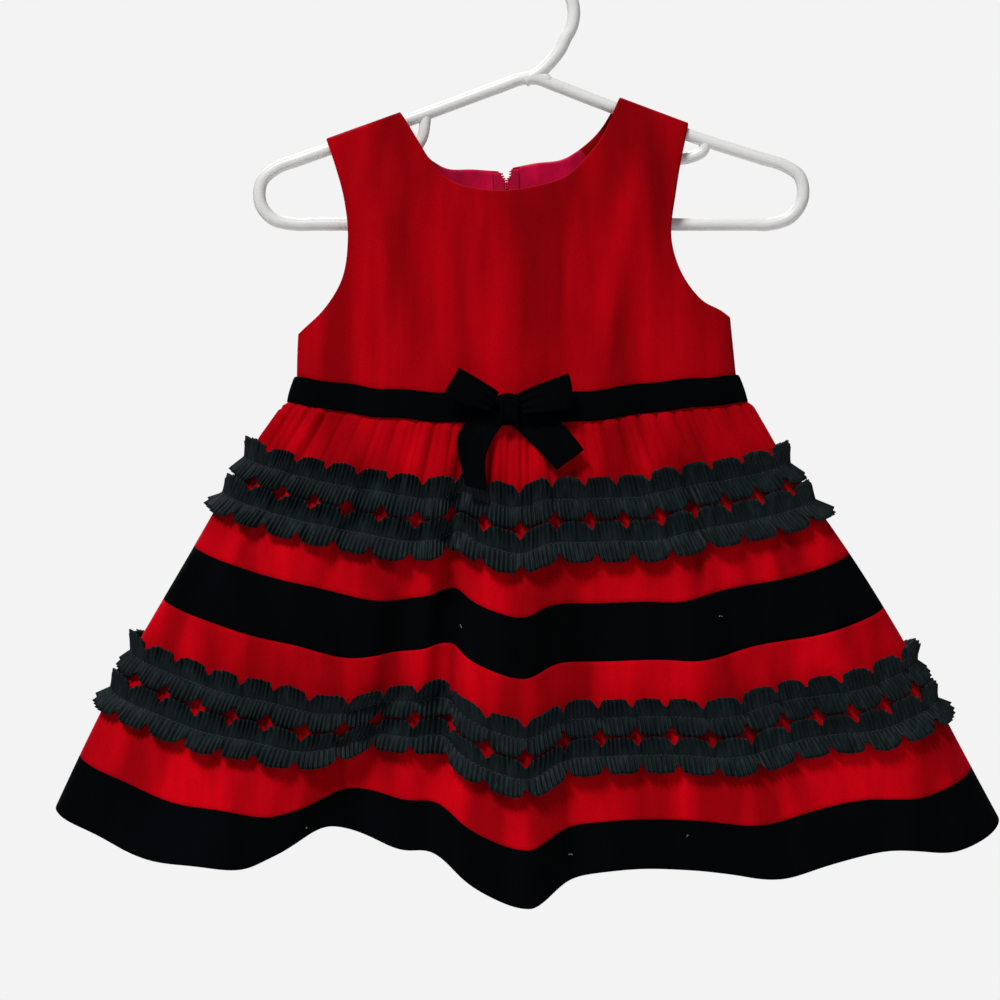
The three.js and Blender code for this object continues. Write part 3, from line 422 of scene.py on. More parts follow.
class DressColours(bpy.types.PropertyGroup):
    """Main colour of each finish."""

    red: FloatVectorProperty(
        name="Red velvet", description="Velvet of the bodice and skirt", subtype="COLOR",
        size=4, min=0, max=1, default=(0.56, 0.0002, 0.0055, 1),
    )
    black: FloatVectorProperty(
        name="Black velvet", description="Bands, waist ribbon and bow", subtype="COLOR",
        size=4, min=0, max=1, default=(0.0006, 0.0012, 0.0017, 1),
    )
    slate: FloatVectorProperty(
        name="Slate taffeta", description="Pleated trims", subtype="COLOR",
        size=4, min=0, max=1, default=(0.0078, 0.0142, 0.0165, 1),
    )
    lining: FloatVectorProperty(
        name="Lining satin", description="Lining inside the back neck", subtype="COLOR",
        size=4, min=0, max=1, default=(0.72, 0.0008, 0.06, 1),
    )
    hanger: FloatVectorProperty(
        name="Hanger plastic", description="Moulded plastic of the hanger", subtype="COLOR",
        size=4, min=0, max=1, default=(0.93, 0.93, 0.92, 1),
    )


class DressStage(bpy.types.PropertyGroup):
    """Camera and light."""

    distance: FloatProperty(
        name="Camera distance", description="From the camera to the hanger", default=1.6, unit="LENGTH"
    )
    view_width: FloatProperty(
        name="View width", description="Width that the picture takes in at the hanger",
        default=0.54, unit="LENGTH",
    )
    floor: FloatProperty(
        name="Floor height", description="Height of the floor below the hook", default=-1.1, unit="LENGTH"
    )
    light: FloatProperty(
        name="Light strength", description="Power that the soft lights share in", default=29, unit="POWER"
    )


# Form of the body and skirt

def even_angles(steps=2000):
    """Returns a share of the half section's length, and the angle there."""
    angle = np.linspace(0, math.pi, steps + 1)
    along = np.hypot(2 * np.diff(section_across(angle)), SECTION_RATIO * np.diff(section_depth(angle)))
    share = np.concatenate([[0], np.cumsum(along)])
    return share / share[-1], angle


def section_across(angle):
    """Returns the place across the body, from 0 at the left side seam to 1 at the right one."""
    c = np.cos(angle)
    return (1 - np.sign(c) * np.abs(c) ** ROUNDNESS) / 2


def section_depth(angle):
    """Returns the share of the body's half depth."""
    return np.abs(np.sin(angle)) ** ROUNDNESS


EVEN_SHARE, EVEN_ANGLE = even_angles()


def place_round(turn):
    """Returns across, depth and side for a turn round the body. Side is -1 in front and 1 behind."""
    t = turn - np.floor(turn)
    front = t < 0.5
    angle = np.interp(np.where(front, 2 * t, 2 - 2 * t), EVEN_SHARE, EVEN_ANGLE)
    return section_across(angle), section_depth(angle), np.where(front, -1.0, 1.0)


def uneven(i):
    """Returns a fixed uneven value between -1 and 1 for each whole number."""
    wave = np.sin(np.asarray(i) * 12.9898 + 4.1414) * 43758.5453
    return 2 * (wave - np.floor(wave)) - 1


def waist_seam_z(across, side):
    """Returns the height of the waist seam."""
    sag = np.interp(across, WAIST_SAG[:, 0], WAIST_SAG[:, 1])
    return WAIST_SEAM_Z - np.where(side < 0, sag, 0.5 * sag)


def fold_total(folds, across, level, key):
    """Returns the sum over the folds of one of their heights at each place."""
    total = np.zeros_like(across)
    slide = (level - FOLD_LEVELS[0]) / (FOLD_LEVELS[1] - FOLD_LEVELS[0])
    for fold in folds:
        middle, hem, left, right = fold[:4]
        away = across - (middle + (hem - middle) * slide)
        width = np.where(away < 0, left, right)
        total += fold[key] * np.exp(-((away / width) ** 2))
    return total


def by_side(side, front, back):
    """Returns the front's value or the back's for each place."""
    return np.where(side < 0, front, back)


def skirt_base(turn, level):
    """Returns points of the skirt's plain face. Level is 0 at the waist seam and 1 at the hem."""
    across, depth, side = place_round(turn)
    v = level - SIDE_RISE * np.abs(2 * across - 1) ** 3 * 4 * level * (1 - level)
    half_width = WAIST_HALF_WIDTH + (HEM_HALF_WIDTH - WAIST_HALF_WIDTH) * v + SIDE_BULGE * np.sin(math.pi * v)
    hem_depth = by_side(side, HEM_DEPTH["front"], HEM_DEPTH["back"])
    half_depth = WAIST_DEPTH + (hem_depth - WAIST_DEPTH) * v
    centre = WAIST_CENTRE_X + (HEM_CENTRE_X - WAIST_CENTRE_X) * v
    ends = np.minimum(1, 1.6 * depth)
    out = by_side(side, fold_total(FRONT_FOLDS, across, v, 4), fold_total(BACK_FOLDS, across, v, 4))
    middle = by_side(side, fold_total(FRONT_FOLDS, across, v, 5), fold_total(BACK_FOLDS, across, v, 5))
    lower = by_side(side, fold_total(FRONT_FOLDS, across, v, 6), fold_total(BACK_FOLDS, across, v, 6))
    grown = np.maximum(v, 0)
    drop = middle * np.maximum(0, np.sin(math.pi * v / FOLD_LEVELS[1])) + lower * grown**HEM_DROP_GROWTH
    tilt = SIDE_TILT * (2 * across - 1) * (1 - (1 - v) ** 4)
    top = waist_seam_z(across, side)
    sag = by_side(side, HEM_SAG["front"], HEM_SAG["back"])
    hem = HEM_SIDE_Z - sag * np.sqrt(np.clip(np.sin(math.pi * across), 0, 1))
    x = centre + half_width * (2 * across - 1)
    y = side * (half_depth * depth + out * grown**FOLD_GROWTH * ends)
    z = top + (hem - top) * v - drop * ends - tilt
    return np.stack([x, y, z], axis=-1)


def normals_of(place, first, second, step_first, step_second):
    """Returns outward unit normals of a surface given as a function of two values."""
    along = place(first + step_first, second) - place(first - step_first, second)
    down = place(first, second + step_second) - place(first, second - step_second)
    normal = np.cross(down, along)
    return normal / np.maximum(np.linalg.norm(normal, axis=-1, keepdims=True), 1e-9)


def calm_by_zip(turn):
    """Returns how much of the gathers and ripples is left beside the flat zip."""
    away = np.abs(turn - np.floor(turn) - CENTRE_BACK) * WAIST_ROUND
    return np.clip((away - CALM_HALF_WIDTH) / CALM_FADE, 0, 1)


def gather_lift(turn, level, height):
    """Returns how far the gathers and the small ripples below them stand out."""
    around = turn - np.floor(turn)
    zone = np.interp(around, GATHER_ZONES[:, 0], GATHER_ZONES[:, 1])
    t = around * GATHER_COUNT
    down = level * SKIRT_LENGTH
    number = np.floor(t)
    phase = t - number
    hollow = (phase - 0.5 - 0.2 * uneven(number + 5)) / FURROW_WIDTH
    furrow = 0.3 * (1 + uneven(number + 31)) * np.exp(-(hollow**2))
    crest = np.clip(np.sin(math.pi * phase), 0, 1) ** 0.6 - furrow
    tall = 1 + 0.45 * uneven(number * 2 + 1)
    base = np.interp(down, GATHERS[:, 0], GATHERS[:, 1])
    reach = np.interp(down / (1 + 0.35 * uneven(number + 71)), GATHERS[:, 0], GATHERS[:, 1])
    reach = np.where(down < GATHER_FULL_DOWN, base, reach)
    return height * zone * (crest * tall * reach - GATHER_SINK * base) * calm_by_zip(turn)


def ripple_lift(turn, level):
    """Returns small uneven ripples that run down the skirt between the large folds."""
    slant = 0.004 * np.sin(9 * level + 2 * math.pi * 6 * turn)
    wide = np.sin(2 * math.pi * (23 * (turn + slant)) + 1.3 * np.sin(2 * math.pi * 5 * turn))
    narrow = np.sin(2 * math.pi * (41 * (turn - slant)) + 2.1 * np.sin(2 * math.pi * 3 * turn + 1))
    start = np.clip((level - 0.035) / 0.1, 0, 1)
    waves = start * ((1.3 - 0.5 * level) * wide + 0.45 * narrow * (1 - 0.6 * level))
    return (waves + crease_lift(turn, level)) * calm_by_zip(turn)


def crease_lift(turn, level):
    """Returns how far the narrow creases stand out; each fades in and out along its length."""
    t = turn - np.floor(turn)
    total = np.zeros_like(t)
    for top, bottom, first, last, width, out in CREASES:
        share = np.clip((level - first) / (last - first), 0, 1)
        away = (t - top - (bottom - top) * share) * round_at(level)
        total += out * np.exp(-((away / width) ** 2)) * np.sin(math.pi * share) ** 0.7
    return total


def round_at(level):
    """Returns the length round the skirt at a level, before it is gathered."""
    return WAIST_ROUND + (HEM_ROUND - WAIST_ROUND) * level


class SkirtCloth:
    """The draped skirt: its plain face with gathers and ripples on it."""

    def __init__(self, gather_mm):
        self.gather = gather_mm

    def normal(self, turn, level):
        return normals_of(skirt_base, turn, np.clip(level, 0.003, 0.997), 0.0015, 0.002)

    def at(self, turn, level, off=0.0):
        lift = gather_lift(turn, level, self.gather) + ripple_lift(turn, level) + off
        return skirt_base(turn, level) + self.normal(turn, level) * lift[..., None]


def bodice_centre_x(z):
    """Returns the bodice's middle at each height; it leans a little to the left going up."""
    share = np.clip((z - WAIST_SEAM_Z) / (SHOULDER_Z - WAIST_SEAM_Z), 0, 1)
    return WAIST_CENTRE_X + (NECK_CENTRE_X - WAIST_CENTRE_X) * share


def bodice_half_width(z):
    """Returns half the width of the bodice's section at each height."""
    return WAIST_HALF_WIDTH + (CHEST_HALF_WIDTH - WAIST_HALF_WIDTH) * np.clip((z - WAIST_SEAM_Z) / 40, 0, 1)


def bodice_ripple(x, side, down):
    """Returns the bodice front's soft upright ripples."""
    grow = np.clip((down - 25) / 40, 0, 1) * np.clip((150 - down) / 30, 0, 1)
    total = np.zeros_like(x)
    for top, bottom, width, out in BODICE_RIPPLES:
        place = top + (bottom - top) * np.clip(down / BODICE_LENGTH, 0, 1)
        total += out * np.exp(-(((x - place) / width) ** 2))
    fine = 0.2 * np.sin(x / 4.1 + 1.5 * np.sin(down / 31)) + 0.2 * np.sin(x / 6.7 + down / 45)
    return np.where(side < 0, (total + fine) * grow, (0.6 * fine - 0.3 * total) * grow)


def bodice_from_share(share, z, side):
    """Returns points of the bodice's outer face from the share round its half section and the height."""
    angle = np.interp(share, EVEN_SHARE, EVEN_ANGLE)
    across = section_across(angle)
    depth = section_depth(angle)
    x = bodice_centre_x(z) + bodice_half_width(z) * (2 * across - 1)
    down = np.interp(x, SHOULDER_LINE[:, 0], SHOULDER_LINE[:, 1]) - z
    tuck = np.sqrt(np.maximum(0, 1 - np.abs(2 * across - 1) ** 10))
    wrap = np.interp(down, BODICE_PROFILE[:, 0], BODICE_PROFILE[:, 1]) * tuck
    full = np.interp(down, BODICE_PROFILE[:, 0], BODICE_PROFILE[:, 2]) * depth
    y = side * (wrap + full + bodice_ripple(x, side, down) * depth)
    return np.stack([x, y, z], axis=-1)


def share_of_x(x, z):
    """Returns the share round the half section where the bodice has this x."""
    across = np.clip((x - bodice_centre_x(z) + bodice_half_width(z)) / (2 * bodice_half_width(z)), 0, 1)
    return np.interp(across, section_across(EVEN_ANGLE), EVEN_SHARE)


def smooth_line(points, count):
    """Returns evenly spaced points of a smooth line through the given ones, with no overshoot."""
    p = np.array(points, float)
    knots = np.concatenate([[0], np.cumsum(np.linalg.norm(np.diff(p, axis=0), axis=1) ** 0.5)])
    steps = np.diff(knots)[:, None]
    slopes = np.diff(p, axis=0) / steps
    lean = np.empty_like(p)
    lean[1:-1] = (slopes[:-1] * steps[1:] + slopes[1:] * steps[:-1]) / (steps[:-1] + steps[1:])
    lean[0] = slopes[0]
    lean[-1] = slopes[-1]
    t = np.linspace(0, 1, LINE_STEPS, endpoint=False)[:, None]
    pieces = []
    for k in range(len(p) - 1):
        rise = 3 * t**2 - 2 * t**3
        first = lean[k] * (t - 2 * t**2 + t**3)
        last = lean[k + 1] * (t**3 - t**2)
        pieces.append(p[k] + (p[k + 1] - p[k]) * rise + (first + last) * steps[k])
    line = np.vstack(pieces + [p[-1:]])
    along = np.concatenate([[0], np.cumsum(np.linalg.norm(np.diff(line, axis=0), axis=1))])
    at = np.linspace(0, along[-1], count)
    return np.stack([np.interp(at, along, line[:, k]) for k in range(p.shape[1])], axis=1)


# Mesh making

def new_piece(name, points, faces, body=DRESS):
    """Makes a smooth mesh object from points in millimetres and rides it on a body."""
    mesh = bpy.data.meshes.new(name)
    mesh.from_pydata(np.asarray(points, float) * MM, [], faces)
    mesh.validate()
    mesh.shade_smooth()
    piece = bpy.data.objects.new(name, mesh)
    bpy.context.scene.collection.objects.link(piece)
    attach(piece, body)
    return piece


def shell_faces(columns, ring, closed):
    """Returns the faces of a wall whose section is a ring of points at each column."""
    i = np.arange(columns if closed else columns - 1)[:, None]
    j = np.arange(ring)[None, :]
    after = (i + 1) % columns
    below = (j + 1) % ring
    quads = np.stack([i * ring + j, i * ring + below, after * ring + below, after * ring + j], axis=-1)
    faces = quads.reshape(-1, 4).tolist()
    if not closed:
        half = ring // 2
        for first, flip in ((0, False), ((columns - 1) * ring, True)):
            for k in range(half - 1):
                cap = [first + k, first + ring - 1 - k, first + ring - 2 - k, first + k + 1]
                faces.append(cap[::-1] if flip else cap)
    return faces


def shell_points(outer, inner, bulge):
    """Returns the section rings of a wall, with a rounded edge along its first and last rows."""
    top = (outer[:, 0] + inner[:, 0]) / 2
    bottom = (outer[:, -1] + inner[:, -1]) / 2
    up = outer[:, 0] - outer[:, 1]
    down = outer[:, -1] - outer[:, -2]
    up /= np.maximum(np.linalg.norm(up, axis=-1, keepdims=True), 1e-9)
    down /= np.maximum(np.linalg.norm(down, axis=-1, keepdims=True), 1e-9)
    rows = [outer, (bottom + down * bulge)[:, None], inner[:, ::-1], (top + up * bulge)[:, None]]
    return np.concatenate(rows, axis=1)


def cloth_shell(name, outer, inner, closed=False, bulge=0.4):
    """Makes a thin closed wall from a grid of outer points and the matching inner ones."""
    points = shell_points(outer, inner, bulge)
    columns, ring = points.shape[:2]
    faces = shell_faces(columns, ring, closed)
    piece = new_piece(name, points.reshape(-1, 3), faces)
    turn_out(piece)
    return piece


def turn_out(piece):
    """Turns a closed piece's faces outward."""
    mesh = bmesh.new()
    mesh.from_mesh(piece.data)
    bmesh.ops.recalc_face_normals(mesh, faces=mesh.faces)
    mesh.to_mesh(piece.data)
    mesh.free()


def finish_piece(piece, node, slot):
    """Gives a piece its finish and lets it stand for its node."""
    piece.data.materials.append(finishes()[slot])
    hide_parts(node)


# Materials

class Nodes:
    """A short way to lay out a material's nodes."""

    def __init__(self, name):
        self.material = bpy.data.materials.get(name) or bpy.data.materials.new(name)
        self.material.use_nodes = True
        self.tree = self.material.node_tree
        self.tree.nodes.clear()
        self.shader = self.add("ShaderNodeBsdfPrincipled")
        output = self.add("ShaderNodeOutputMaterial")
        self.link(self.shader.outputs["BSDF"], output.inputs["Surface"])
        self.place = self.add("ShaderNodeTexCoord").outputs["Object"]

    def add(self, kind, **values):
        node = self.tree.nodes.new(kind)
        for key, value in values.items():
            setattr(node, key, value)
        return node

    def link(self, source, target):
        self.tree.links.new(source, target)

    def stretched(self, scale):
        mapping = self.add("ShaderNodeMapping")
        mapping.inputs["Scale"].default_value = scale
        self.link(self.place, mapping.inputs["Vector"])
        return mapping.outputs["Vector"]

    def noise(self, scale, size, detail=3.0, roughness=0.55):
        node = self.add("ShaderNodeTexNoise")
        node.inputs["Scale"].default_value = size
        node.inputs["Detail"].default_value = detail
        node.inputs["Roughness"].default_value = roughness
        self.link(self.stretched(scale), node.inputs["Vector"])
        return node.outputs["Fac"]

    def height(self, lowest, highest):
        place = self.add("ShaderNodeSeparateXYZ")
        self.link(self.place, place.inputs["Vector"])
        share = self.add("ShaderNodeMapRange")
        share.inputs["From Min"].default_value = lowest
        share.inputs["From Max"].default_value = highest
        self.link(place.outputs["Z"], share.inputs["Value"])
        return share.outputs["Result"]

    def ramp(self, value, stops):
        node = self.add("ShaderNodeValToRGB")
        first, last = node.color_ramp.elements
        first.position, first.color = stops[0]
        last.position, last.color = stops[-1]
        for position, colour in stops[1:-1]:
            node.color_ramp.elements.new(position).color = colour
        self.link(value, node.inputs["Fac"])
        return node.outputs["Color"]

    def mix(self, share, first, second, blend="MIX"):
        node = self.add("ShaderNodeMix", data_type="RGBA", blend_type=blend)
        for value, socket in ((share, node.inputs[0]), (first, node.inputs[6]), (second, node.inputs[7])):
            if isinstance(value, bpy.types.NodeSocket):
                self.link(value, socket)
            else:
                socket.default_value = value
        return node.outputs[2]

    def bump(self, height, strength, distance, under=None):
        node = self.add("ShaderNodeBump")
        node.inputs["Strength"].default_value = strength
        node.inputs["Distance"].default_value = distance
        self.link(height, node.inputs["Height"])
        if under is not None:
            self.link(under, node.inputs["Normal"])
        return node.outputs["Normal"]

    def set(self, **values):
        for key, value in values.items():
            self.shader.inputs[key.replace("_", " ")].default_value = value


def scaled(colour, factor):
    """Returns a colour made lighter or darker."""
    return (*(min(1.0, c * factor) for c in colour[:3]), 1.0)


def two_tones(colour, start, dark, light):
    """Returns the stops of a ramp from a darker to a lighter tone of a colour, which ends at 0.7."""
    return [(start, scaled(colour, dark)), (0.7, scaled(colour, light))]


def greys(tones):
    """Returns the stops of a ramp in plain greys."""
    return [(place, (tone, tone, tone, 1)) for place, tone in tones]


def velvet(name, colour, sheen_tint, sheen, dark, light):
    """Short pile: soft brushed bands, fine upright streaks, a speckled grain, a soft sheen, and painted shade
    that darkens it going up towards the shoulders.
    """
    made = Nodes(name)
    # Painted shade: the velvet's colour is darkened going up from the hem to the shoulders, for how the light
    # from above falls on the cloth.
    painted_shade = made.ramp(made.height(PAINTED_SHADE_FROM, PAINTED_SHADE_TO), greys(PAINTED_SHADE_TONES))
    bands = [(0.36, scaled(colour, dark)), (0.5, colour), (0.64, scaled(colour, light))]
    patches = made.ramp(made.noise((1, 1, 0.14), 42, 1.5), bands)
    streaks = made.ramp(made.noise((1, 1, 0.12), 150, 2), greys([(0.35, 0.84), (0.7, 1.1)]))
    grain = made.ramp(made.noise((1, 1, 1), 1500, 2), greys([(0.3, 0.86), (0.7, 1.1)]))
    tone = made.mix(0.5, made.mix(1.0, patches, painted_shade, "MULTIPLY"), streaks, "MULTIPLY")
    made.link(made.mix(0.6, tone, grain, "MULTIPLY"), made.shader.inputs["Base Color"])
    pile = made.bump(made.noise((1, 1, 0.6), 1900, 3), 0.35, 0.0004)
    made.link(made.bump(made.noise((1, 1, 0.4), 90, 2), 0.16, 0.0012, pile), made.shader.inputs["Normal"])
    made.set(Roughness=0.95, IOR=1.12, Sheen_Weight=sheen, Sheen_Roughness=0.4, Sheen_Tint=sheen_tint)
    return made.material


def taffeta(colour):
    """Crisp woven cloth: fine ribs across, uneven tone from pleat to pleat, a low silky gloss."""
    made = Nodes("slate_taffeta")
    pleats = [(0.35, scaled(colour, 0.6)), (0.55, colour), (0.72, scaled(colour, 1.7))]
    tone = made.ramp(made.noise((1, 1, 0.25), 260, 3), pleats)
    weave = made.ramp(made.noise((1, 1, 1.6), 2400, 1), greys([(0.35, 0.8), (0.65, 1.15)]))
    made.link(made.mix(0.6, tone, weave, "MULTIPLY"), made.shader.inputs["Base Color"])
    made.link(made.bump(made.noise((1, 1, 2.5), 1800, 1), 0.3, 0.0003), made.shader.inputs["Normal"])
    made.set(Roughness=0.5, IOR=1.2, Sheen_Weight=0.01, Sheen_Tint=(0.6, 0.85, 0.9, 1))
    return made.material


def satin(colour):
    """Smooth lining with soft crumples and a silky gloss."""
    made = Nodes("lining_satin")
    tone = made.ramp(made.noise((1, 1, 0.4), 60, 3), two_tones(colour, 0.3, 0.6, 1.35))
    made.link(tone, made.shader.inputs["Base Color"])
    fine = made.bump(made.noise((1, 1, 5), 1400, 1), 0.15, 0.0002)
    made.link(made.bump(made.noise((1, 1, 0.5), 110, 2), 0.4, 0.0015, fine), made.shader.inputs["Normal"])
    made.set(Roughness=0.4, IOR=1.35, Sheen_Weight=0.06, Sheen_Tint=(1, 0.2, 0.3, 1))
    return made.material


def moulded_plastic(colour):
    """White moulded plastic, faintly uneven, with a soft gloss."""
    made = Nodes("hanger_plastic")
    tone = made.ramp(made.noise((1, 1, 1), 18, 2), two_tones(colour, 0.3, 0.95, 1.03))
    made.link(tone, made.shader.inputs["Base Color"])
    made.link(made.bump(made.noise((1, 1, 1), 420, 2), 0.08, 0.0004), made.shader.inputs["Normal"])
    made.set(Roughness=0.4, Coat_Weight=0.1, Coat_Roughness=0.3)
    return made.material


def zip_enamel(colour):
    """Painted metal with an uneven tone."""
    made = Nodes("zip_metal")
    tone = made.ramp(made.noise((1, 1, 1), 900, 3), two_tones(colour, 0.35, 0.7, 1.25))
    made.link(tone, made.shader.inputs["Base Color"])
    made.link(made.bump(made.noise((1, 1, 1), 2200, 2), 0.1, 0.0001), made.shader.inputs["Normal"])
    made.set(Roughness=0.3, Metallic=0.35, Specular_IOR_Level=0.6)
    return made.material


def woven_tape(colour):
    """Close woven tape with a herringbone grain."""
    made = Nodes("zip_tape")
    wave = made.add("ShaderNodeTexWave", wave_type="BANDS", bands_direction="DIAGONAL")
    wave.inputs["Scale"].default_value = 900
    wave.inputs["Distortion"].default_value = 1.5
    made.link(made.place, wave.inputs["Vector"])
    tone = made.ramp(wave.outputs["Fac"], [(0.2, scaled(colour, 0.6)), (0.8, scaled(colour, 1.2))])
    made.link(tone, made.shader.inputs["Base Color"])
    made.link(made.bump(wave.outputs["Fac"], 0.3, 0.0002), made.shader.inputs["Normal"])
    made.set(Roughness=0.8, IOR=1.3, Sheen_Weight=0.1, Sheen_Tint=(1, 0.1, 0.2, 1))
    return made.material


def spun_thread(name, colour):
    """Spun thread: a fine twist and uneven tone."""
    made = Nodes(name)
    tone = made.ramp(made.noise((1, 1, 1), 1200, 2), two_tones(colour, 0.3, 0.6, 1.5))
    made.link(tone, made.shader.inputs["Base Color"])
    made.link(made.bump(made.noise((1, 1, 1), 3000, 1), 0.3, 0.0001), made.shader.inputs["Normal"])
    made.set(Roughness=0.7, Sheen_Weight=0.2)
    return made.material


def finishes():
    """Returns the dress's materials by slot, made once."""
    colours = bpy.context.scene.dress_colours
    if "lint" in bpy.data.materials:
        return {material.name: material for material in bpy.data.materials}
    red = tuple(colours.red)
    return {
        "red_velvet": velvet("red_velvet", red, (1, 0.006, 0.1, 1), 0.25, 0.66, 1.3),
        "black_velvet": velvet("black_velvet", tuple(colours.black), (0.4, 0.6, 0.7, 1), 0.006, 0.6, 1.6),
        "slate_taffeta": taffeta(tuple(colours.slate)),
        "lining_satin": satin(tuple(colours.lining)),
        "hanger_plastic": moulded_plastic(tuple(colours.hanger)),
        "zip_metal": zip_enamel(scaled(tuple(colours.lining), 1.1)),
        "zip_tape": woven_tape(scaled(tuple(colours.lining), 0.9)),
        "thread": spun_thread("thread", (0.012, 0.014, 0.018, 1)),
        "lint": spun_thread("lint", (0.5, 0.48, 0.46, 1)),
    }


# Cutting and hanging the cloth

def velvet_mm():
    return bpy.context.scene.dress_sizes.velvet / MM


def ribbon_mm():
    return bpy.context.scene.dress_sizes.ribbon / MM


def skirt_cloth():
    """Returns the draped skirt with the gathers' height that the user set."""
    return SkirtCloth(bpy.context.scene.dress_sizes.gather / MM)


def panel_turns(first, last):
    """Returns the turns of a skirt panel's columns, half a seam's gap inside each end."""
    turns = np.linspace(first, last, round((last - first) * GATHER_COUNT * COLUMNS_PER_GATHER) + 1)
    turns[0] += SEAM_TURN
    turns[-1] -= SEAM_TURN
    return turns


def panel_levels(top, bottom):
    """Returns the levels of a skirt panel's rows, closer together under the waist."""
    gap = HALF_GAP / SKIRT_LENGTH
    low = top + gap
    high = bottom - gap if bottom < 1 else bottom
    rows = round((bottom - top) * SKIRT_LENGTH / ROW_STEP)
    return low + (high - low) * np.linspace(0, 1, rows + 1) ** (1.25 if top == 0 else 1)


def skirt_panel(node, first, last, top, bottom, slot):
    """Makes one panel of the skirt."""
    cloth = skirt_cloth()
    turn, level = np.meshgrid(panel_turns(first, last), panel_levels(top, bottom), indexing="ij")
    piece = cloth_shell("cloth_" + node, cloth.at(turn, level), cloth.at(turn, level, -velvet_mm()))
    finish_piece(piece, node, slot)


class BodiceCloth:
    """One side of the bodice as a flat pattern: round the body, and down from the shoulder seam."""

    def __init__(self, side, inset=0.0):
        self.side = side
        self.inset = inset

    def flat(self, x, z):
        """Returns the place on the pattern of a point seen from the front."""
        x, z = np.asarray(x, float), np.asarray(z, float)
        down = np.interp(x, SHOULDER_LINE[:, 0], SHOULDER_LINE[:, 1]) - z
        return np.stack([share_of_x(x, z) * BODICE_ROUND, np.interp(down, DOWN, CLOTH_DOWN)], axis=-1)

    def share_and_z(self, flat):
        """Returns the share round the half section and the height of places on the pattern."""
        share = np.clip(flat[:, 0] / BODICE_ROUND, 0, 1)
        down = np.interp(flat[:, 1], CLOTH_DOWN, DOWN)
        across = section_across(np.interp(share, EVEN_SHARE, EVEN_ANGLE))
        z = np.full_like(share, SHOULDER_Z)
        for _ in range(4):
            x = bodice_centre_x(z) + bodice_half_width(z) * (2 * across - 1)
            z = np.interp(x, SHOULDER_LINE[:, 0], SHOULDER_LINE[:, 1]) - down
        return share, z

    def surface(self, share, below):
        return bodice_from_share(share, -below, self.side)

    def points(self, flat, off=0.0):
        """Returns points on the cloth, moved out by off."""
        share, z = self.share_and_z(flat)
        plain = self.surface(share, -z)
        shoulder = np.interp(plain[:, 0], SHOULDER_LINE[:, 0], SHOULDER_LINE[:, 1])
        inside = np.clip(share, 0.004, 0.996)
        normal = -self.side * normals_of(self.surface, inside, np.maximum(-z, 0.3 - shoulder), 0.003, 0.25)
        points = plain + normal * (off - self.inset)
        points[:, 1] = self.side * np.maximum(self.side * points[:, 1], HALF_GAP)
        return points


def closed_outline(corners, step):
    """Returns a closed outline with its corners kept and its long edges split."""
    corners = np.asarray(corners, float)
    pieces = []
    for a, b in zip(corners, np.roll(corners, -1, axis=0)):
        count = max(1, round(float(np.linalg.norm(b - a)) / step))
        pieces.append(a + (b - a) * (np.arange(count) / count)[:, None])
    return np.vstack(pieces)


def inside_points(outline, step):
    """Returns evenly staggered points inside an outline and clear of its edge."""
    low, high = outline.min(axis=0), outline.max(axis=0)
    grid = []
    for k, v in enumerate(np.arange(low[1] + step / 2, high[1], step * math.sqrt(3) / 2)):
        row = np.arange(low[0] + (k % 2) * step / 2, high[0], step)
        grid.append(np.stack([row, np.full_like(row, v)], axis=-1))
    points = np.vstack(grid)
    a, b = outline, np.roll(outline, -1, axis=0)
    inside = np.zeros(len(points), bool)
    nearest = np.full(len(points), np.inf)
    for (ax, ay), (bx, by) in zip(a, b):
        crosses = (ay > points[:, 1]) != (by > points[:, 1])
        if ay != by:
            inside ^= crosses & (points[:, 0] < ax + (points[:, 1] - ay) * (bx - ax) / (by - ay))
        nearest = np.minimum(nearest, np.hypot(points[:, 0] - ax, points[:, 1] - ay))
    return points[inside & (nearest > CLEAR_OF_EDGE * step)]


def outline_area(outline):
    """Returns the area inside an outline."""
    across, down = outline[:, 0], outline[:, 1]
    return 0.5 * abs(float(np.sum(across * np.roll(down, -1) - down * np.roll(across, -1))))


def cut_flat(corners, step):
    """Cuts a flat pattern into triangles, and returns its outline, points and faces."""
    outline = closed_outline(corners, step)
    flat = np.vstack([outline, inside_points(outline, step)])
    edges = [(i, (i + 1) % len(outline)) for i in range(len(outline))]
    cut = geometry.delaunay_2d_cdt([Vector(p) for p in flat], edges, [], 1, 1e-5)
    return outline, np.array([tuple(p) for p in cut[0]]), [list(face) for face in cut[2]]


def rim_of_pattern(flat, faces):
    """Returns the steps along a pattern's edge, and the way out of it where each step starts."""
    sides = [(f[k], f[(k + 1) % 3]) for f in faces for k in range(3)]
    known = set(sides)
    rim = [(a, b) for a, b in sides if (b, a) not in known]
    ahead = dict(rim)
    behind = {b: a for a, b in rim}
    along = flat[[ahead[a] for a, _ in rim]] - flat[[behind[a] for a, _ in rim]]
    outward = np.stack([along[:, 1], -along[:, 0]], axis=-1)
    outward /= np.maximum(np.linalg.norm(outward, axis=-1, keepdims=True), 1e-9)
    return rim, outward


def wall_faces(faces, rim, count):
    """Returns the faces of a cut wall's two sides and of its edge, from those of its outer side."""
    rim_point = {a: 2 * count + k for k, (a, _) in enumerate(rim)}
    every = faces + [[count + i for i in face[::-1]] for face in faces]
    for a, b in rim:
        every.append([b, a, rim_point[a], rim_point[b]])
        every.append([rim_point[b], rim_point[a], count + a, count + b])
    return every


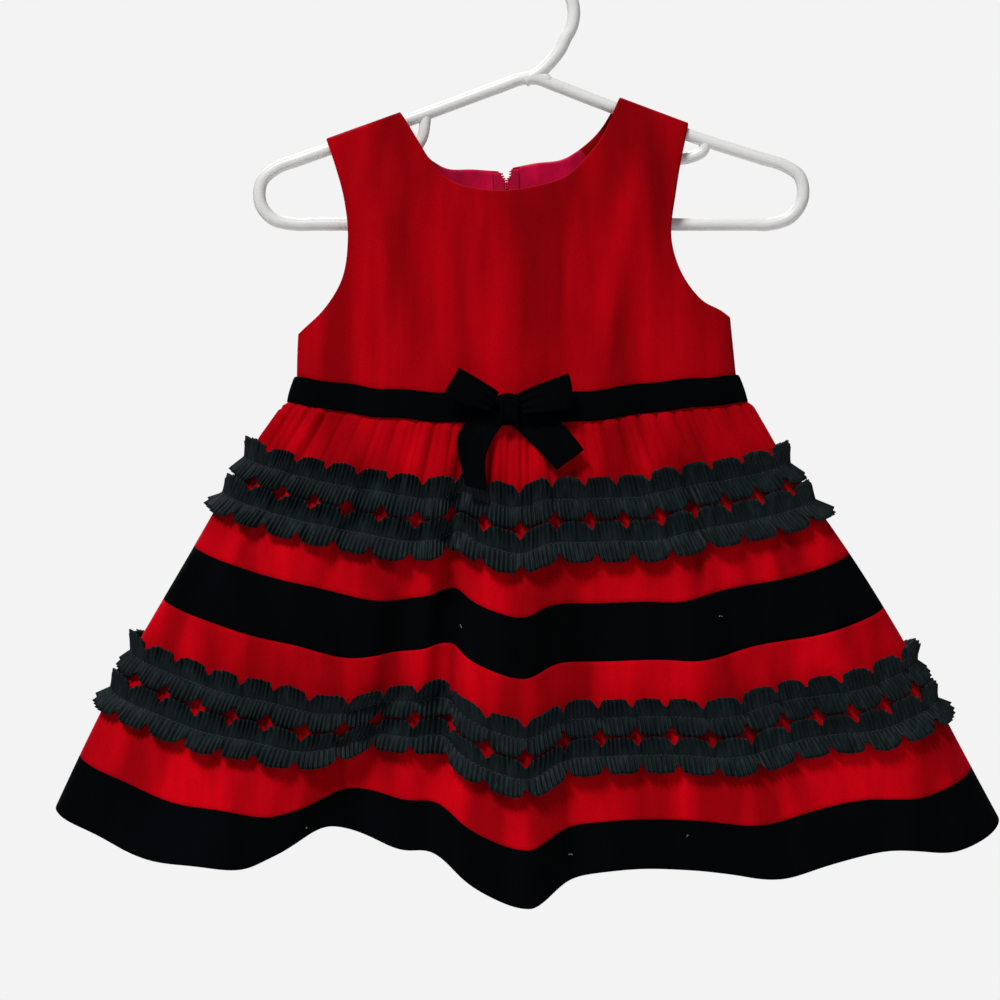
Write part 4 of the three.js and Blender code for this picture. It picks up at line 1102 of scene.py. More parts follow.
def cut_panel(node, cloth, corners, slot, thickness, step):
    """Cuts a panel from a bodice pattern: outer and inner faces, and a rounded edge all round."""
    outline, flat, faces = cut_flat(corners, step)
    rim, outward = rim_of_pattern(flat, faces)
    around = flat[[a for a, _ in rim]]
    middle = cloth.points(around, -thickness / 2)
    past = cloth.points(around + outward * EDGE_TEST, -thickness / 2) - middle
    past /= np.maximum(np.linalg.norm(past, axis=-1, keepdims=True), EDGE_TEST / 2)
    points = np.vstack([cloth.points(flat), cloth.points(flat, -thickness), middle + past * EDGE_BULGE])
    piece = new_piece("cloth_" + node, points, wall_faces(faces, rim, len(flat)))
    turn_out(piece)
    finish_piece(piece, node, slot)
    width, length = (float(s) * MM for s in flat.max(axis=0) - flat.min(axis=0))
    area = min(outline_area(outline) * MM * MM, width * length)


def bottom_edge(cloth, first, last):
    """Returns the waist edge of a bodice pattern, from one share of the half section to another."""
    share = np.linspace(first, last, EDGE_POINTS["waist"])
    across = section_across(np.interp(share, EVEN_SHARE, EVEN_ANGLE))
    z = waist_seam_z(across, cloth.side) + HALF_GAP
    x = bodice_centre_x(z) + bodice_half_width(z) * (2 * across - 1)
    return cloth.flat(x, z)


def outline_edge(cloth, points, edge):
    """Returns a smooth edge of a bodice pattern from its points as seen from the front."""
    line = smooth_line(points, EDGE_POINTS[edge])
    return cloth.flat(line[:, 0], line[:, 1])


def bodice_front():
    """Makes the front of the bodice."""
    cloth = BodiceCloth(-1)
    corners = np.vstack(
        [
            bottom_edge(cloth, SEAM_SHARE, 1 - SEAM_SHARE),
            outline_edge(cloth, RIGHT_ARMHOLE, "armhole")[::-1],
            outline_edge(cloth, FRONT_NECKLINE, "front_neck")[::-1],
            outline_edge(cloth, LEFT_ARMHOLE, "armhole"),
        ]
    )
    cut_panel("bodice_front", cloth, keep_apart(corners), "red_velvet", velvet_mm(), PANEL_STEP)


def keep_apart(corners):
    """Drops corners that lie on the one before, and keeps the pattern inside its side seams."""
    corners[:, 0] = np.clip(corners[:, 0], SEAM_SHARE * BODICE_ROUND, (1 - SEAM_SHARE) * BODICE_ROUND)
    away = np.linalg.norm(corners - np.roll(corners, 1, axis=0), axis=1)
    return corners[away > SAME_PLACE]


def zip_edge(cloth, hand, from_z, to_z):
    """Returns the edge of a back panel along the zip."""
    z = np.linspace(from_z, to_z, EDGE_POINTS["zip"])
    half = np.interp(-z, -ZIP_OPENING[:, 0], ZIP_OPENING[:, 1])
    return cloth.flat(bodice_centre_x(z) + hand * half, z)


def bodice_back(hand):
    """Makes the left or right back of the bodice."""
    cloth = BodiceCloth(1)
    seam_z = float(waist_seam_z(0.5, 1)) + HALF_GAP
    side, middle = SEAM_SHARE, MIDDLE_SHARE
    if hand > 0:
        side, middle = 1 - side, 1 - middle
    armhole = LEFT_ARMHOLE if hand < 0 else RIGHT_ARMHOLE
    neckline = BACK_NECKLINE_LEFT if hand < 0 else BACK_NECKLINE_RIGHT[::-1]
    corners = np.vstack(
        [
            bottom_edge(cloth, side, middle),
            zip_edge(cloth, hand, seam_z + 0.2, neckline[-1][1] - 1),
            outline_edge(cloth, neckline, "back_neck")[::-1],
            outline_edge(cloth, armhole, "armhole"),
        ]
    )
    node = "bodice_back_left" if hand < 0 else "bodice_back_right"
    cut_panel(node, cloth, keep_apart(corners), "red_velvet", velvet_mm(), PANEL_STEP)


def neck_lining(hand):
    """Makes the satin lining inside a back panel, as far down as it shows."""
    cloth = BodiceCloth(1, velvet_mm() + LINING_GAP)
    neckline = (BACK_NECKLINE_LEFT if hand < 0 else BACK_NECKLINE_RIGHT[::-1])[2:]
    line = smooth_line(neckline, EDGE_POINTS["lining"])
    line = line[hand * (line[:, 0] - bodice_centre_x(line[:, 1])) > LINING_FROM_ZIP + 1]
    bottom = neckline[-1][1] - LINING_DEPTH
    side = neckline[0][0] + hand * LINING_SIDE
    zip_z = np.linspace(line[-1][1] - 0.5, bottom, 30)
    inner = np.stack([bodice_centre_x(zip_z) + hand * LINING_FROM_ZIP, zip_z], axis=-1)
    outline = np.vstack([line, inner, [(side, bottom), (side, neckline[0][1] - LINING_SIDE)]])
    corners = cloth.flat(outline[:, 0], outline[:, 1])
    thickness = bpy.context.scene.dress_sizes.satin / MM
    node = "neck_lining_left" if hand < 0 else "neck_lining_right"
    cut_panel(node, cloth, keep_apart(corners), "lining_satin", thickness, LINING_STEP)


def share_of_turn(turn):
    """Returns the share round the half section for a turn round the body."""
    t = turn - np.floor(turn)
    return np.where(t < 0.5, 2 * t, 2 - 2 * t)


def waist_ribbon():
    """Makes the velvet ribbon over the waist seam."""
    ends = RIBBON_END_GAP / WAIST_ROUND
    columns, rows = RIBBON_GRID
    turns = np.linspace(CENTRE_BACK + ends, CENTRE_BACK + 1 - ends, columns)
    turn, w = np.meshgrid(turns, np.linspace(-1, 1, rows), indexing="ij")
    across, _, side = place_round(turn)
    seam_z = waist_seam_z(across, side)
    above = bodice_from_share(share_of_turn(turn), seam_z + WAIST_RIBBON_HALF, side)
    below = skirt_base(turn, np.full_like(turn, WAIST_RIBBON_HALF / SKIRT_LENGTH))
    normal = skirt_cloth().normal(turn, np.full_like(turn, 0.01))
    normal[..., 2] = 0
    normal /= np.linalg.norm(normal, axis=-1, keepdims=True)
    plain = above + (below - above) * ((w + 1) / 2)[..., None]
    wave = 0.3 * np.sin(2 * math.pi * 31 * turn + 1.5 * w) + 0.2 * np.sin(2 * math.pi * 53 * turn - w)
    lift = WAIST_RIBBON_OFF + 0.35 * (1 - w**2) + 0.5 * np.maximum(wave, 0)
    edge = 0.35 * np.sin(2 * math.pi * 17 * turn) * w**2
    plain[..., 2] += edge

    def at(off):
        return plain + normal * (lift + off)[..., None]

    piece = cloth_shell("cloth_waist_ribbon", at(ribbon_mm()), at(0.0))
    finish_piece(piece, "waist_ribbon", "black_velvet")


# Pleated trims

class Trim:
    """A pleated ribbon round the skirt, stitched down along a crease between two scalloped edges."""

    def __init__(self, level, half, scallops, inner):
        sizes = bpy.context.scene.dress_sizes
        self.level = level
        self.half = half
        self.scallops = scallops
        self.inner = inner
        self.pleats = scallops * sizes.pleats_per_scallop
        self.notch = sizes.scallop / MM
        self.height = sizes.pleat / MM
        self.cloth = skirt_cloth()

    def reach(self, turn):
        """Returns the share of the skirt's length from the crease to an edge, which is scalloped."""
        phase = (turn - CENTRE_BACK) * self.scallops
        from_notch = np.abs(phase - np.round(phase))
        arc = ARC_SHARE * (1 - 2 * from_notch) ** 2
        notch = (1 - ARC_SHARE) * (0.5 + 0.5 * np.cos(math.pi * np.clip(from_notch / NOTCH_SHARE, 0, 1)))
        number = np.floor((turn - CENTRE_BACK) * self.pleats)
        return (self.half - self.notch * (arc + notch) + 0.35 * uneven(number + 7)) / SKIRT_LENGTH

    def lift(self, turn, w):
        """Returns how far the ribbon stands off the skirt: it opens from its crease, with pleats on it."""
        scallop = (turn - CENTRE_BACK) * self.scallops
        upper = np.where(w < 0, 0.0, 500.0)
        number = np.floor(scallop + 0.5)
        share = 0.5 - 0.5 * np.cos(2 * math.pi * scallop)
        at_middle = 0.45 * uneven(np.floor(scallop) + upper) * share
        at_notch = 0.15 * uneven(number + upper + 90) * (1 - share)
        open_out = 1 + at_middle + at_notch
        pleat = (turn - CENTRE_BACK) * self.pleats
        phase = 2 * math.pi * (pleat + 0.12 * np.sin(2 * math.pi * pleat / 7))
        tall = 1 + 0.35 * uneven(np.floor(pleat) + upper)
        wave = np.sin(phase) + 0.35 * np.sin(2 * phase)
        away = np.abs(w)
        stand = (TRIM_EDGE_OFF - TRIM_CREASE_OFF) * np.where(w * self.inner > 0, TRIM_INNER_SHARE, 1.0)
        return (
            TRIM_CREASE_OFF
            + stand * away * open_out
            + self.height * wave * tall * (0.2 + 0.8 * away)
            + self.height * 0.6
        )

    def at(self, turn, w, off=0.0):
        level = self.level + w * self.reach(turn)
        return self.cloth.at(turn, level, self.lift(turn, w) + off)


def trim_ribbon(node, level, half, scallops, inner):
    """Makes one pleated ribbon and the stitches along its crease."""
    trim = Trim(level, half, scallops, inner)
    thickness = bpy.context.scene.dress_sizes.taffeta / MM
    turns = np.linspace(CENTRE_BACK, CENTRE_BACK + 1, trim.pleats * COLUMNS_PER_PLEAT + 1)
    turns[0] += SEAM_TURN
    turns[-1] -= SEAM_TURN
    turn, w = np.meshgrid(turns, TRIM_ROWS, indexing="ij")
    piece = cloth_shell("cloth_" + node, trim.at(turn, w), trim.at(turn, w, -thickness), bulge=0.1)
    finish_piece(piece, node, "slate_taffeta")
    start = (np.arange(trim.pleats) + 0.2) / trim.pleats + CENTRE_BACK
    zero = np.zeros_like(start)
    ends = [trim.at(start + part / trim.pleats, zero, 0.12) for part in (0, 0.6)]
    stitches("stitches_" + node, *ends)


def stitches(name, starts, ends):
    """Makes a row of short thread stitches as one mesh."""
    along = ends - starts
    length = np.linalg.norm(along, axis=1, keepdims=True)
    along /= np.maximum(length, 1e-9)
    side = np.cross(along, np.array([0.0, 0.0, 1.0]))
    side /= np.maximum(np.linalg.norm(side, axis=1, keepdims=True), 1e-9)
    up = np.cross(side, along)
    angles = np.arange(STITCH_SIDES) * 2 * math.pi / STITCH_SIDES
    rings = []
    for part, thick in ((0, 0.4), (0.5, 1.0), (1, 0.4)):
        middle = starts + along * length * part
        ring = [middle + STITCH_RADIUS * thick * (side * math.cos(a) + up * math.sin(a)) for a in angles]
        rings.append(np.stack(ring, axis=1))
    points = np.stack(rings, axis=1)
    count, stations = points.shape[:2]
    faces = []
    for s in range(count):
        first = s * stations * STITCH_SIDES
        faces += tube_faces(first, stations, STITCH_SIDES)
    piece = new_piece(name, points.reshape(-1, 3), faces)
    turn_out(piece)
    piece.data.materials.append(finishes()["thread"])


def tube_faces(first, stations, sides, closed=False):
    """Returns the faces of a tube whose rings follow one another, with caps unless it is closed."""
    faces = []
    for k in range(stations if closed else stations - 1):
        for j in range(sides):
            after = (j + 1) % sides
            low, high = first + k * sides, first + (k + 1) % stations * sides
            faces.append([low + j, low + after, high + after, high + j])
    if not closed:
        faces.append([first + j for j in reversed(range(sides))])
        faces.append([first + (stations - 1) * sides + j for j in range(sides)])
    return faces


# Bow

def loop_grid(around, across):
    """Returns the angles round a loop of ribbon and the places across it, as grids."""
    angles = np.linspace(0, 2 * math.pi, around, endpoint=False)
    return np.meshgrid(angles, np.linspace(-1, 1, across), indexing="ij")


def bow_loop(node, root, tip, root_half, tip_half):
    """Makes a loop of the bow: a folded ribbon, pinched into creases at the knot and full at its tip."""
    start = np.array([root[0], BOW_Y, root[1]])
    along = np.array([tip[0], BOW_Y, tip[1]]) - start
    reach = float(np.linalg.norm(along)) / 2
    along /= 2 * reach
    wide = np.array([-along[2], 0, along[0]])
    angle, w = loop_grid(*LOOP_GRID)

    def at(inset):
        share = (1 - np.cos(angle) * (reach - inset) / reach) / 2
        pinch = (1 - share) ** 2
        crease = 0.7 * pinch * np.cos(3 * math.pi * w)
        curl = 0.9 * share * w**2 * np.sign(np.sin(angle))
        y = (BOW_LOOP_DEPTH / 2 - inset) * np.sin(angle) * (1 - 0.25 * pinch) - curl * 0.5 + crease
        half = (root_half + (tip_half - root_half) * share**0.8) * w
        bend = 0.8 * share * np.sin(2.2 * w + 0.4)
        place = start + along * (2 * reach * share + bend)[..., None] + wide * half[..., None]
        place[..., 1] += y
        return place

    piece = cloth_shell("cloth_" + node, at(0), at(ribbon_mm()), closed=True, bulge=0.3)
    finish_piece(piece, node, "black_velvet")


def bow_tail(node, sections):
    """Makes a tail of the bow with a soft fold down its middle and a slanted cut end."""
    line = smooth_line(sections, TAIL_GRID[0])
    rows, w = np.meshgrid(np.arange(len(line)), np.linspace(-1, 1, TAIL_GRID[1]), indexing="ij")
    x, y, z, half_x, half_z = (line[rows, k] for k in range(5))
    share = rows / (len(line) - 1)

    def at(off):
        fold = 0.5 * np.sin(math.pi * share) * np.cos(2.2 * math.pi * (w - 0.15))
        crown = -0.6 * (1 - w**2) - fold - 0.4 * share * w
        slant = 1.6 * w * share**3
        return np.stack([x + w * half_x, y + off + crown, z + w * half_z - slant], axis=-1)

    piece = cloth_shell("cloth_" + node, at(0), at(ribbon_mm()), bulge=0.3)
    finish_piece(piece, node, "black_velvet")


def bow_knot():
    """Makes the knot: a ribbon wound over the middle of the bow, creased along its length."""
    centre, half = np.array(KNOT["centre"]), KNOT["half"]
    angle, w = loop_grid(*KNOT_GRID)

    def rounded(value):
        return np.sign(value) * np.abs(value) ** 0.75

    def at(inset):
        size = 1 - 0.3 * np.abs(w) ** 3
        crease = 0.22 * np.cos(2.2 * math.pi * w + 0.8 * np.sin(angle)) * (1 - w**2)
        y = (half[1] - inset + crease) * size * rounded(np.sin(angle))
        z = (half[2] - inset + crease) * (1 - 0.12 * np.abs(w) ** 3) * rounded(np.cos(angle))
        x = (half[0] - 0.3 * inset) * w * (1 - 0.12 * np.sin(angle) ** 2)
        return centre + np.stack([x, y, z], axis=-1)

    piece = cloth_shell("cloth_bow_knot", at(0), at(ribbon_mm()), closed=True, bulge=0.2)
    finish_piece(piece, "bow_knot", "black_velvet")


# Zip

def zip_tape_rows(hand):
    """Returns the outer face of half the zip's tape: a row from its edge outwards at each height."""
    seam_z = float(waist_seam_z(0.5, 1)) + HALF_GAP
    neck_z = BACK_NECKLINE_LEFT[-1][1] if hand < 0 else BACK_NECKLINE_RIGHT[0][1]
    z = np.linspace(neck_z - ZIP_TAPE_BELOW_NECK, seam_z, TAPE_GRID[0])
    edge = np.interp(-z, -ZIP_TAPE_EDGE[:, 0], ZIP_TAPE_EDGE[:, 1])
    share = np.linspace(0, 1, TAPE_GRID[1])
    away = edge[:, None] + (ZIP_TAPE_HALF_WIDTH - edge)[:, None] * share
    height = np.repeat(z[:, None], len(share), axis=1)
    x = bodice_centre_x(height) + hand * away
    above = bodice_from_share(share_of_x(x, height), height, 1.0)
    down = np.linspace(ZIP_PAST_SEAM, ZIP_BELOW_WAIST, TAPE_ROWS_BELOW)[:, None]
    level = np.repeat(down / SKIRT_LENGTH, len(share), axis=1)
    below = skirt_base(np.full_like(level, CENTRE_BACK), level)
    below[..., 0] += hand * (edge[-1] + (ZIP_TAPE_HALF_WIDTH - edge[-1]) * share)
    rows = np.concatenate([above, below])
    rows[..., 1] -= TAPE_INSIDE
    return rows


def zip_tape(hand):
    """Makes half the zip's tape, inside the edge of its back panel, and the teeth along it."""
    outer = zip_tape_rows(hand)
    inner = outer.copy()
    inner[..., 1] -= TAPE_THICKNESS
    name = "left" if hand < 0 else "right"
    piece = cloth_shell("cloth_zip_tape_" + name, outer, inner, bulge=0.1)
    finish_piece(piece, "zip_tape_" + name, "zip_tape")
    edge = outer[:, 0]
    along = np.concatenate([[0], np.cumsum(np.linalg.norm(np.diff(edge, axis=0), axis=1))])
    at = np.arange(TOOTH_PITCH * (0.5 if hand < 0 else 1), along[-1] - 1, TOOTH_PITCH)
    middles = np.stack([np.interp(at, along, edge[:, k]) for k in range(3)], axis=1)
    middles -= np.array([hand * TOOTH_HALF[0] * 0.6, TAPE_THICKNESS / 2, 0])
    teeth("teeth_" + name, middles)


def teeth(name, middles):
    """Makes a row of zip teeth as one mesh of rounded blocks."""
    points, faces = rounded_block(TOOTH_HALF, 0.55, 8, 5)
    count = len(points)
    every = (middles[:, None] + points[None]).reshape(-1, 3)
    copies = [[i + k * count for i in face] for k in range(len(middles)) for face in faces]
    piece = new_piece(name, every, copies)
    turn_out(piece)
    piece.data.materials.append(finishes()["zip_metal"])


def rounded_block(half, roundness, around, rows):
    """Returns points and faces of a rounded block about the origin."""
    points = [(0, 0, half[2])]
    for i in range(1, rows):
        down = math.pi * i / rows
        for j in range(around):
            turn = 2 * math.pi * (j + 0.5) / around
            direction = (math.sin(down) * math.cos(turn), math.sin(down) * math.sin(turn), math.cos(down))
            points.append([h * math.copysign(abs(c) ** roundness, c) for h, c in zip(half, direction)])
    points.append((0, 0, -half[2]))
    last = len(points) - 1
    faces = []
    for j in range(around):
        after = (j + 1) % around
        faces.append([0, 1 + j, 1 + after])
        faces.append([last, 1 + (rows - 2) * around + after, 1 + (rows - 2) * around + j])
        for i in range(rows - 2):
            low = 1 + i * around
            faces.append([low + j, low + around + j, low + around + after, low + after])
    return np.array(points, float), faces


def ring_plate(outer, inner, thickness, soften):
    """Returns points and faces of a plate with a hole, its edges rounded, lying in the plane of X and Z."""
    outer, inner = np.array(outer, float), np.array(inner, float)
    centre = inner.mean(axis=0)
    rings = []

    def ring(line, towards, y):
        step = centre - line
        step /= np.linalg.norm(step, axis=1, keepdims=True)
        flat = line + step * towards
        rings.append(np.stack([flat[:, 0], np.full(len(flat), y), flat[:, 1]], axis=1))

    half = thickness / 2
    ring(outer, 0, half - soften)
    ring(outer, soften, half)
    ring(inner, -soften, half)
    ring(inner, 0, half - soften)
    ring(inner, 0, soften - half)
    ring(inner, -soften, -half)
    ring(outer, soften, -half)
    ring(outer, 0, soften - half)
    points = np.stack(rings, axis=1)
    return points.reshape(-1, 3), shell_faces(len(outer), len(rings), True)


def around_hole(points, count):
    """Returns evenly spaced points round a closed line."""
    line = np.vstack([points, points[:1]])
    along = np.concatenate([[0], np.cumsum(np.linalg.norm(np.diff(line, axis=0), axis=1))])
    at = np.linspace(0, along[-1], count, endpoint=False)
    return np.stack([np.interp(at, along, line[:, k]) for k in range(2)], axis=1)


def zip_pull():
    """Makes the pull tab, which hangs from the slider's ring by the bar across its window."""
    turns = np.linspace(math.pi, 2 * math.pi, 24)
    top_half, end_half, bar = PULL_SHAPE["top_half"], PULL_SHAPE["end_half"], PULL_SHAPE["bar_half"]
    low = end_half - PULL_SHAPE["length"]
    end = np.stack([end_half * np.cos(turns), low + end_half * np.sin(turns)], axis=1)
    top = [(top_half, bar), (-top_half, bar)]
    w, deep = PULL_SHAPE["window_half"], PULL_SHAPE["window_depth"]
    window = np.array([(w, -bar), (-w, -bar), (-w, -deep), (w, -deep)])
    outer = around_hole(np.vstack([top, end]), 72)
    inner = around_hole(window, 72)
    outer = np.roll(outer, -nearest_to(outer, inner[0]), axis=0)
    points, faces = ring_plate(outer, inner, PULL_SHAPE["thickness"], 0.18)
    piece = new_piece("pull_tab", points + np.array(PULL_AXIS), faces, body=PULL)
    turn_out(piece)
    finish_piece(piece, "zip_pull", "zip_metal")


def nearest_to(points, place):
    """Returns which point lies nearest the direction of a place from the middle."""
    middle = points.mean(axis=0)
    wanted = math.atan2(place[1] - middle[1], place[0] - middle[0])
    angles = np.arctan2(points[:, 1] - middle[1], points[:, 0] - middle[0])
    return int(np.argmin(np.abs(np.angle(np.exp(1j * (angles - wanted))))))


def zip_slider():
    """Makes the slider: its rounded body and the ring that carries the pull."""
    near, far = SLIDER["near"], SLIDER["far"]
    body, faces = rounded_block((SLIDER["half_width"], (far - near) / 2, SLIDER["half_height"]), 0.45, 20, 14)
    body[:, 0] *= 1 - 0.22 * np.clip(-body[:, 2] / SLIDER["half_height"], 0, 1)
    body[:, 1] += (near + far) / 2
    ring, ring_faces = round_ring(SLIDER["ring_middle"], SLIDER["ring_half"], SLIDER["ring_width"] / 2)
    points = np.vstack([body, ring]) + np.array(PULL_AXIS)
    every = faces + [[i + len(body) for i in face] for face in ring_faces]
    piece = new_piece("slider", points, every)
    turn_out(piece)
    finish_piece(piece, "zip_slider", "zip_metal")


def round_ring(middle, half, width):
    """Returns points and faces of a ring about the X axis."""
    around, across = 28, 10
    turns = np.linspace(0, 2 * math.pi, around, endpoint=False)
    parts = np.linspace(0, 2 * math.pi, across, endpoint=False)
    turn, part = np.meshgrid(turns, parts, indexing="ij")
    radius = middle + half * np.cos(part)
    points = np.stack([width * np.sin(part), radius * np.cos(turn), radius * np.sin(turn)], axis=-1)
    return points.reshape(-1, 3), shell_faces(around, across, True)


# Hanger

def tube_points(line, radius, sides, closed):
    """Returns the rings of a round tube along a line of points in the plane of the hanger."""
    line = np.asarray(line, float)
    if closed:
        along = np.roll(line, -1, axis=0) - np.roll(line, 1, axis=0)
    else:
        along = np.gradient(line, axis=0)
    along /= np.linalg.norm(along, axis=1, keepdims=True)
    side = np.stack([-along[:, 1], along[:, 0]], axis=1)
    turn = np.arange(sides) * 2 * math.pi / sides
    radii = np.broadcast_to(radius, (len(line),))
    x = line[:, 0:1] + side[:, 0:1] * radii[:, None] * np.cos(turn)
    z = line[:, 1:2] + side[:, 1:2] * radii[:, None] * np.cos(turn)
    y = radii[:, None] * np.sin(turn) * np.ones_like(x)
    return np.stack([x, y, z], axis=-1)


def hanger_tube(line, radius, closed=False):
    """Returns points and faces of one tube of the hanger."""
    rings = tube_points(line, radius, HANGER_SIDES, closed)
    return rings.reshape(-1, 3), tube_faces(0, len(rings), HANGER_SIDES, closed)


def hook_line():
    """Returns the middle of the hook, from its foot between the arms round to its tip."""
    angle = np.radians(np.linspace(HOOK_FROM, HOOK_TO, 17))
    bend = np.stack([HOOK_RADIUS * np.cos(angle), HOOK_CENTRE_Z + HOOK_RADIUS * np.sin(angle)], axis=1)
    return smooth_line(np.vstack([HOOK_STEM, bend]), HANGER_STATIONS["hook"])


def round_tip(count):
    """Returns how a tube narrows over its last stations to a round end."""
    radius = np.full(count, TUBE_RADIUS)
    steps = np.arange(1, TIP_STATIONS + 1)
    radius[-TIP_STATIONS:] *= np.sqrt(1 - (steps / (TIP_STATIONS + 0.4)) ** 3)
    return radius


def hanger():
    """Makes the hanger: one bent tube, its hook and a strap loop under each arm."""
    frame_line = smooth_line(HANGER_FRAME + HANGER_FRAME[:1], HANGER_STATIONS["frame"])[:-1]
    hook = hook_line()
    parts = [hanger_tube(frame_line, TUBE_RADIUS, closed=True), hanger_tube(hook, round_tip(len(hook)))]
    for side in (-1, 1):
        loop = smooth_line([(side * x, z) for x, z in STRAP_LOOP], HANGER_STATIONS["strap_loop"])
        parts.append(hanger_tube(loop, LOOP_RADIUS))
    points, faces = [], []
    for part_points, part_faces in parts:
        first = sum(len(p) for p in points)
        points.append(part_points)
        faces += [[i + first for i in face] for face in part_faces]
    piece = new_piece("hanger_tube", np.vstack(points), faces)
    turn_out(piece)
    finish_piece(piece, "hanger", "hanger_plastic")


# Loose threads and lint that cling to the pile

def lint():
    """Makes a few pale fibres lying on the velvet."""
    cloth = skirt_cloth()
    points, faces = [], []
    for turn, level, length, heading, curl in LINT:
        t = np.linspace(0, 1, 9)
        bend = heading + curl * (t - 0.5)
        x = np.cumsum(np.cos(bend)) * length / len(t)
        down = np.cumsum(np.sin(bend)) * length / len(t)
        line = cloth.at(turn + x / round_at(level), level + down / SKIRT_LENGTH, np.full_like(t, LINT_OFF))
        along = np.gradient(line, axis=0)
        along /= np.linalg.norm(along, axis=1, keepdims=True)
        out = np.cross(along, np.array([0.0, 0.0, 1.0]))
        out /= np.linalg.norm(out, axis=1, keepdims=True)
        up = np.cross(out, along)
        first = sum(len(p) for p in points)
        ring = [line + LINT_RADIUS * (out * math.cos(a) + up * math.sin(a)) for a in (0, 2.1, 4.2)]
        points.append(np.stack(ring, axis=1).reshape(-1, 3))
        faces += tube_faces(first, len(t), 3)
    piece = new_piece("lint", np.vstack(points), faces)
    turn_out(piece)
    piece.data.materials.append(finishes()["lint"])


# Stage

def pale_floor():
    """Makes the pale paper floor, which fades out into the pale room all round."""
    turns = np.linspace(0, 2 * math.pi, FLOOR_SIDES, endpoint=False)
    height = bpy.context.scene.dress_stage.floor
    points = [(FLOOR_RADIUS * math.cos(t), FLOOR_RADIUS * math.sin(t), height) for t in turns]
    mesh = bpy.data.meshes.new("pale_floor")
    mesh.from_pydata(points, [], [list(range(FLOOR_SIDES))])
    paper = bpy.data.objects.new("pale_floor", mesh)
    bpy.context.scene.collection.objects.link(paper)
    made = Nodes("pale_paper")
    tone = made.ramp(made.noise((1, 1, 1), 3, 2), [(0.3, (0.78, 0.78, 0.78, 1)), (0.7, (0.8, 0.8, 0.8, 1))])
    made.link(tone, made.shader.inputs["Base Color"])
    fade = made.add("ShaderNodeTexGradient", gradient_type="SPHERICAL")
    made.link(made.stretched((1 / FLOOR_RADIUS, 1 / FLOOR_RADIUS, 0)), fade.inputs["Vector"])
    cover = made.ramp(fade.outputs["Fac"], [(0, (0, 0, 0, 1)), (FLOOR_FADE, (1, 1, 1, 1))])
    made.link(cover, made.shader.inputs["Alpha"])
    made.set(Roughness=0.9, Specular_IOR_Level=0.1)
    mesh.materials.append(made.material)


def soft_light(name, place, target, width, height, power):
    """Adds a soft area light aimed at a point."""
    light = bpy.data.lights.new(name, "AREA")
    light.shape = "RECTANGLE"
    light.size = width
    light.size_y = height
    light.energy = power
    lamp = bpy.data.objects.new(name, light)
    lamp.location = place
    lamp.rotation_euler = (Vector(target) - Vector(place)).to_track_quat("-Z", "Y").to_euler()
    lamp.visible_camera = False
    bpy.context.scene.collection.objects.link(lamp)


def camera():
    """Adds the camera, level with the middle of the dress and square to it."""
    size = bpy.context.scene.dress_stage
    lens = bpy.data.cameras.new("camera")
    lens.sensor_width = SENSOR_WIDTH
    lens.lens = SENSOR_WIDTH * size.distance / size.view_width
    eye = bpy.data.objects.new("camera", lens)
    eye.location = (VIEW_MIDDLE[0] * MM, -size.distance, VIEW_MIDDLE[1] * MM)
    eye.rotation_euler = (math.pi / 2, 0, 0)
    bpy.context.scene.collection.objects.link(eye)
    bpy.context.scene.camera = eye


def light_room():
    """Lights the dress softly from the front and above, and from behind."""
    power = bpy.context.scene.dress_stage.light
    for name, place, width, height, share in LIGHTS:
        soft_light(name, place, LIT_MIDDLE, width, height, power * share)
    pale_room()
    bpy.context.scene.view_settings.view_transform = "Standard"


def pale_room():
    """Makes the room round the dress: it gives a dim even light, and is seen as pale paper."""
    world = bpy.data.worlds.new("pale_room")
    world.use_nodes = True
    tree = world.node_tree
    dim = tree.nodes["Background"]
    dim.inputs["Color"].default_value = (1, 1, 1, 1)
    dim.inputs["Strength"].default_value = ROOM_LIGHT
    seen = tree.nodes.new("ShaderNodeBackground")
    seen.inputs["Color"].default_value = (1, 1, 1, 1)
    seen.inputs["Strength"].default_value = ROOM_TONE
    ray = tree.nodes.new("ShaderNodeLightPath")
    mix = tree.nodes.new("ShaderNodeMixShader")
    tree.links.new(ray.outputs["Is Camera Ray"], mix.inputs[0])
    tree.links.new(dim.outputs["Background"], mix.inputs[1])
    tree.links.new(seen.outputs["Background"], mix.inputs[2])
    tree.links.new(mix.outputs["Shader"], tree.nodes["World Output"].inputs["Surface"])
    bpy.context.scene.world = world


# Operators, one for each piece or group of like pieces

class DRESS_OT_hanger(bpy.types.Operator):
    """Make the plastic hanger"""

    bl_idname = "dress.hanger"
    bl_label = "Hanger"

    def execute(self, context):
        hanger()
        return {"FINISHED"}


class DRESS_OT_bodice(bpy.types.Operator):
    """Cut the velvet front and backs of the bodice"""

    bl_idname = "dress.bodice"
    bl_label = "Bodice"

    def execute(self, context):
        bodice_front()
        bodice_back(-1)
        bodice_back(1)
        return {"FINISHED"}


class DRESS_OT_lining(bpy.types.Operator):
    """Cut the satin lining inside the back neck"""

    bl_idname = "dress.lining"
    bl_label = "Neck lining"

    def execute(self, context):
        neck_lining(-1)
        neck_lining(1)
        return {"FINISHED"}


class DRESS_OT_zip(bpy.types.Operator):
    """Make the zip: tapes, teeth, slider and pull"""

    bl_idname = "dress.zip"
    bl_label = "Zip"

    def execute(self, context):
        zip_tape(-1)
        zip_tape(1)
        zip_slider()
        zip_pull()
        return {"FINISHED"}


class DRESS_OT_skirt(bpy.types.Operator):
    """Hang the skirt's panels and bands"""

    bl_idname = "dress.skirt"
    bl_label = "Skirt"

    def execute(self, context):
        for panel in PANELS:
            skirt_panel(*panel)
        return {"FINISHED"}


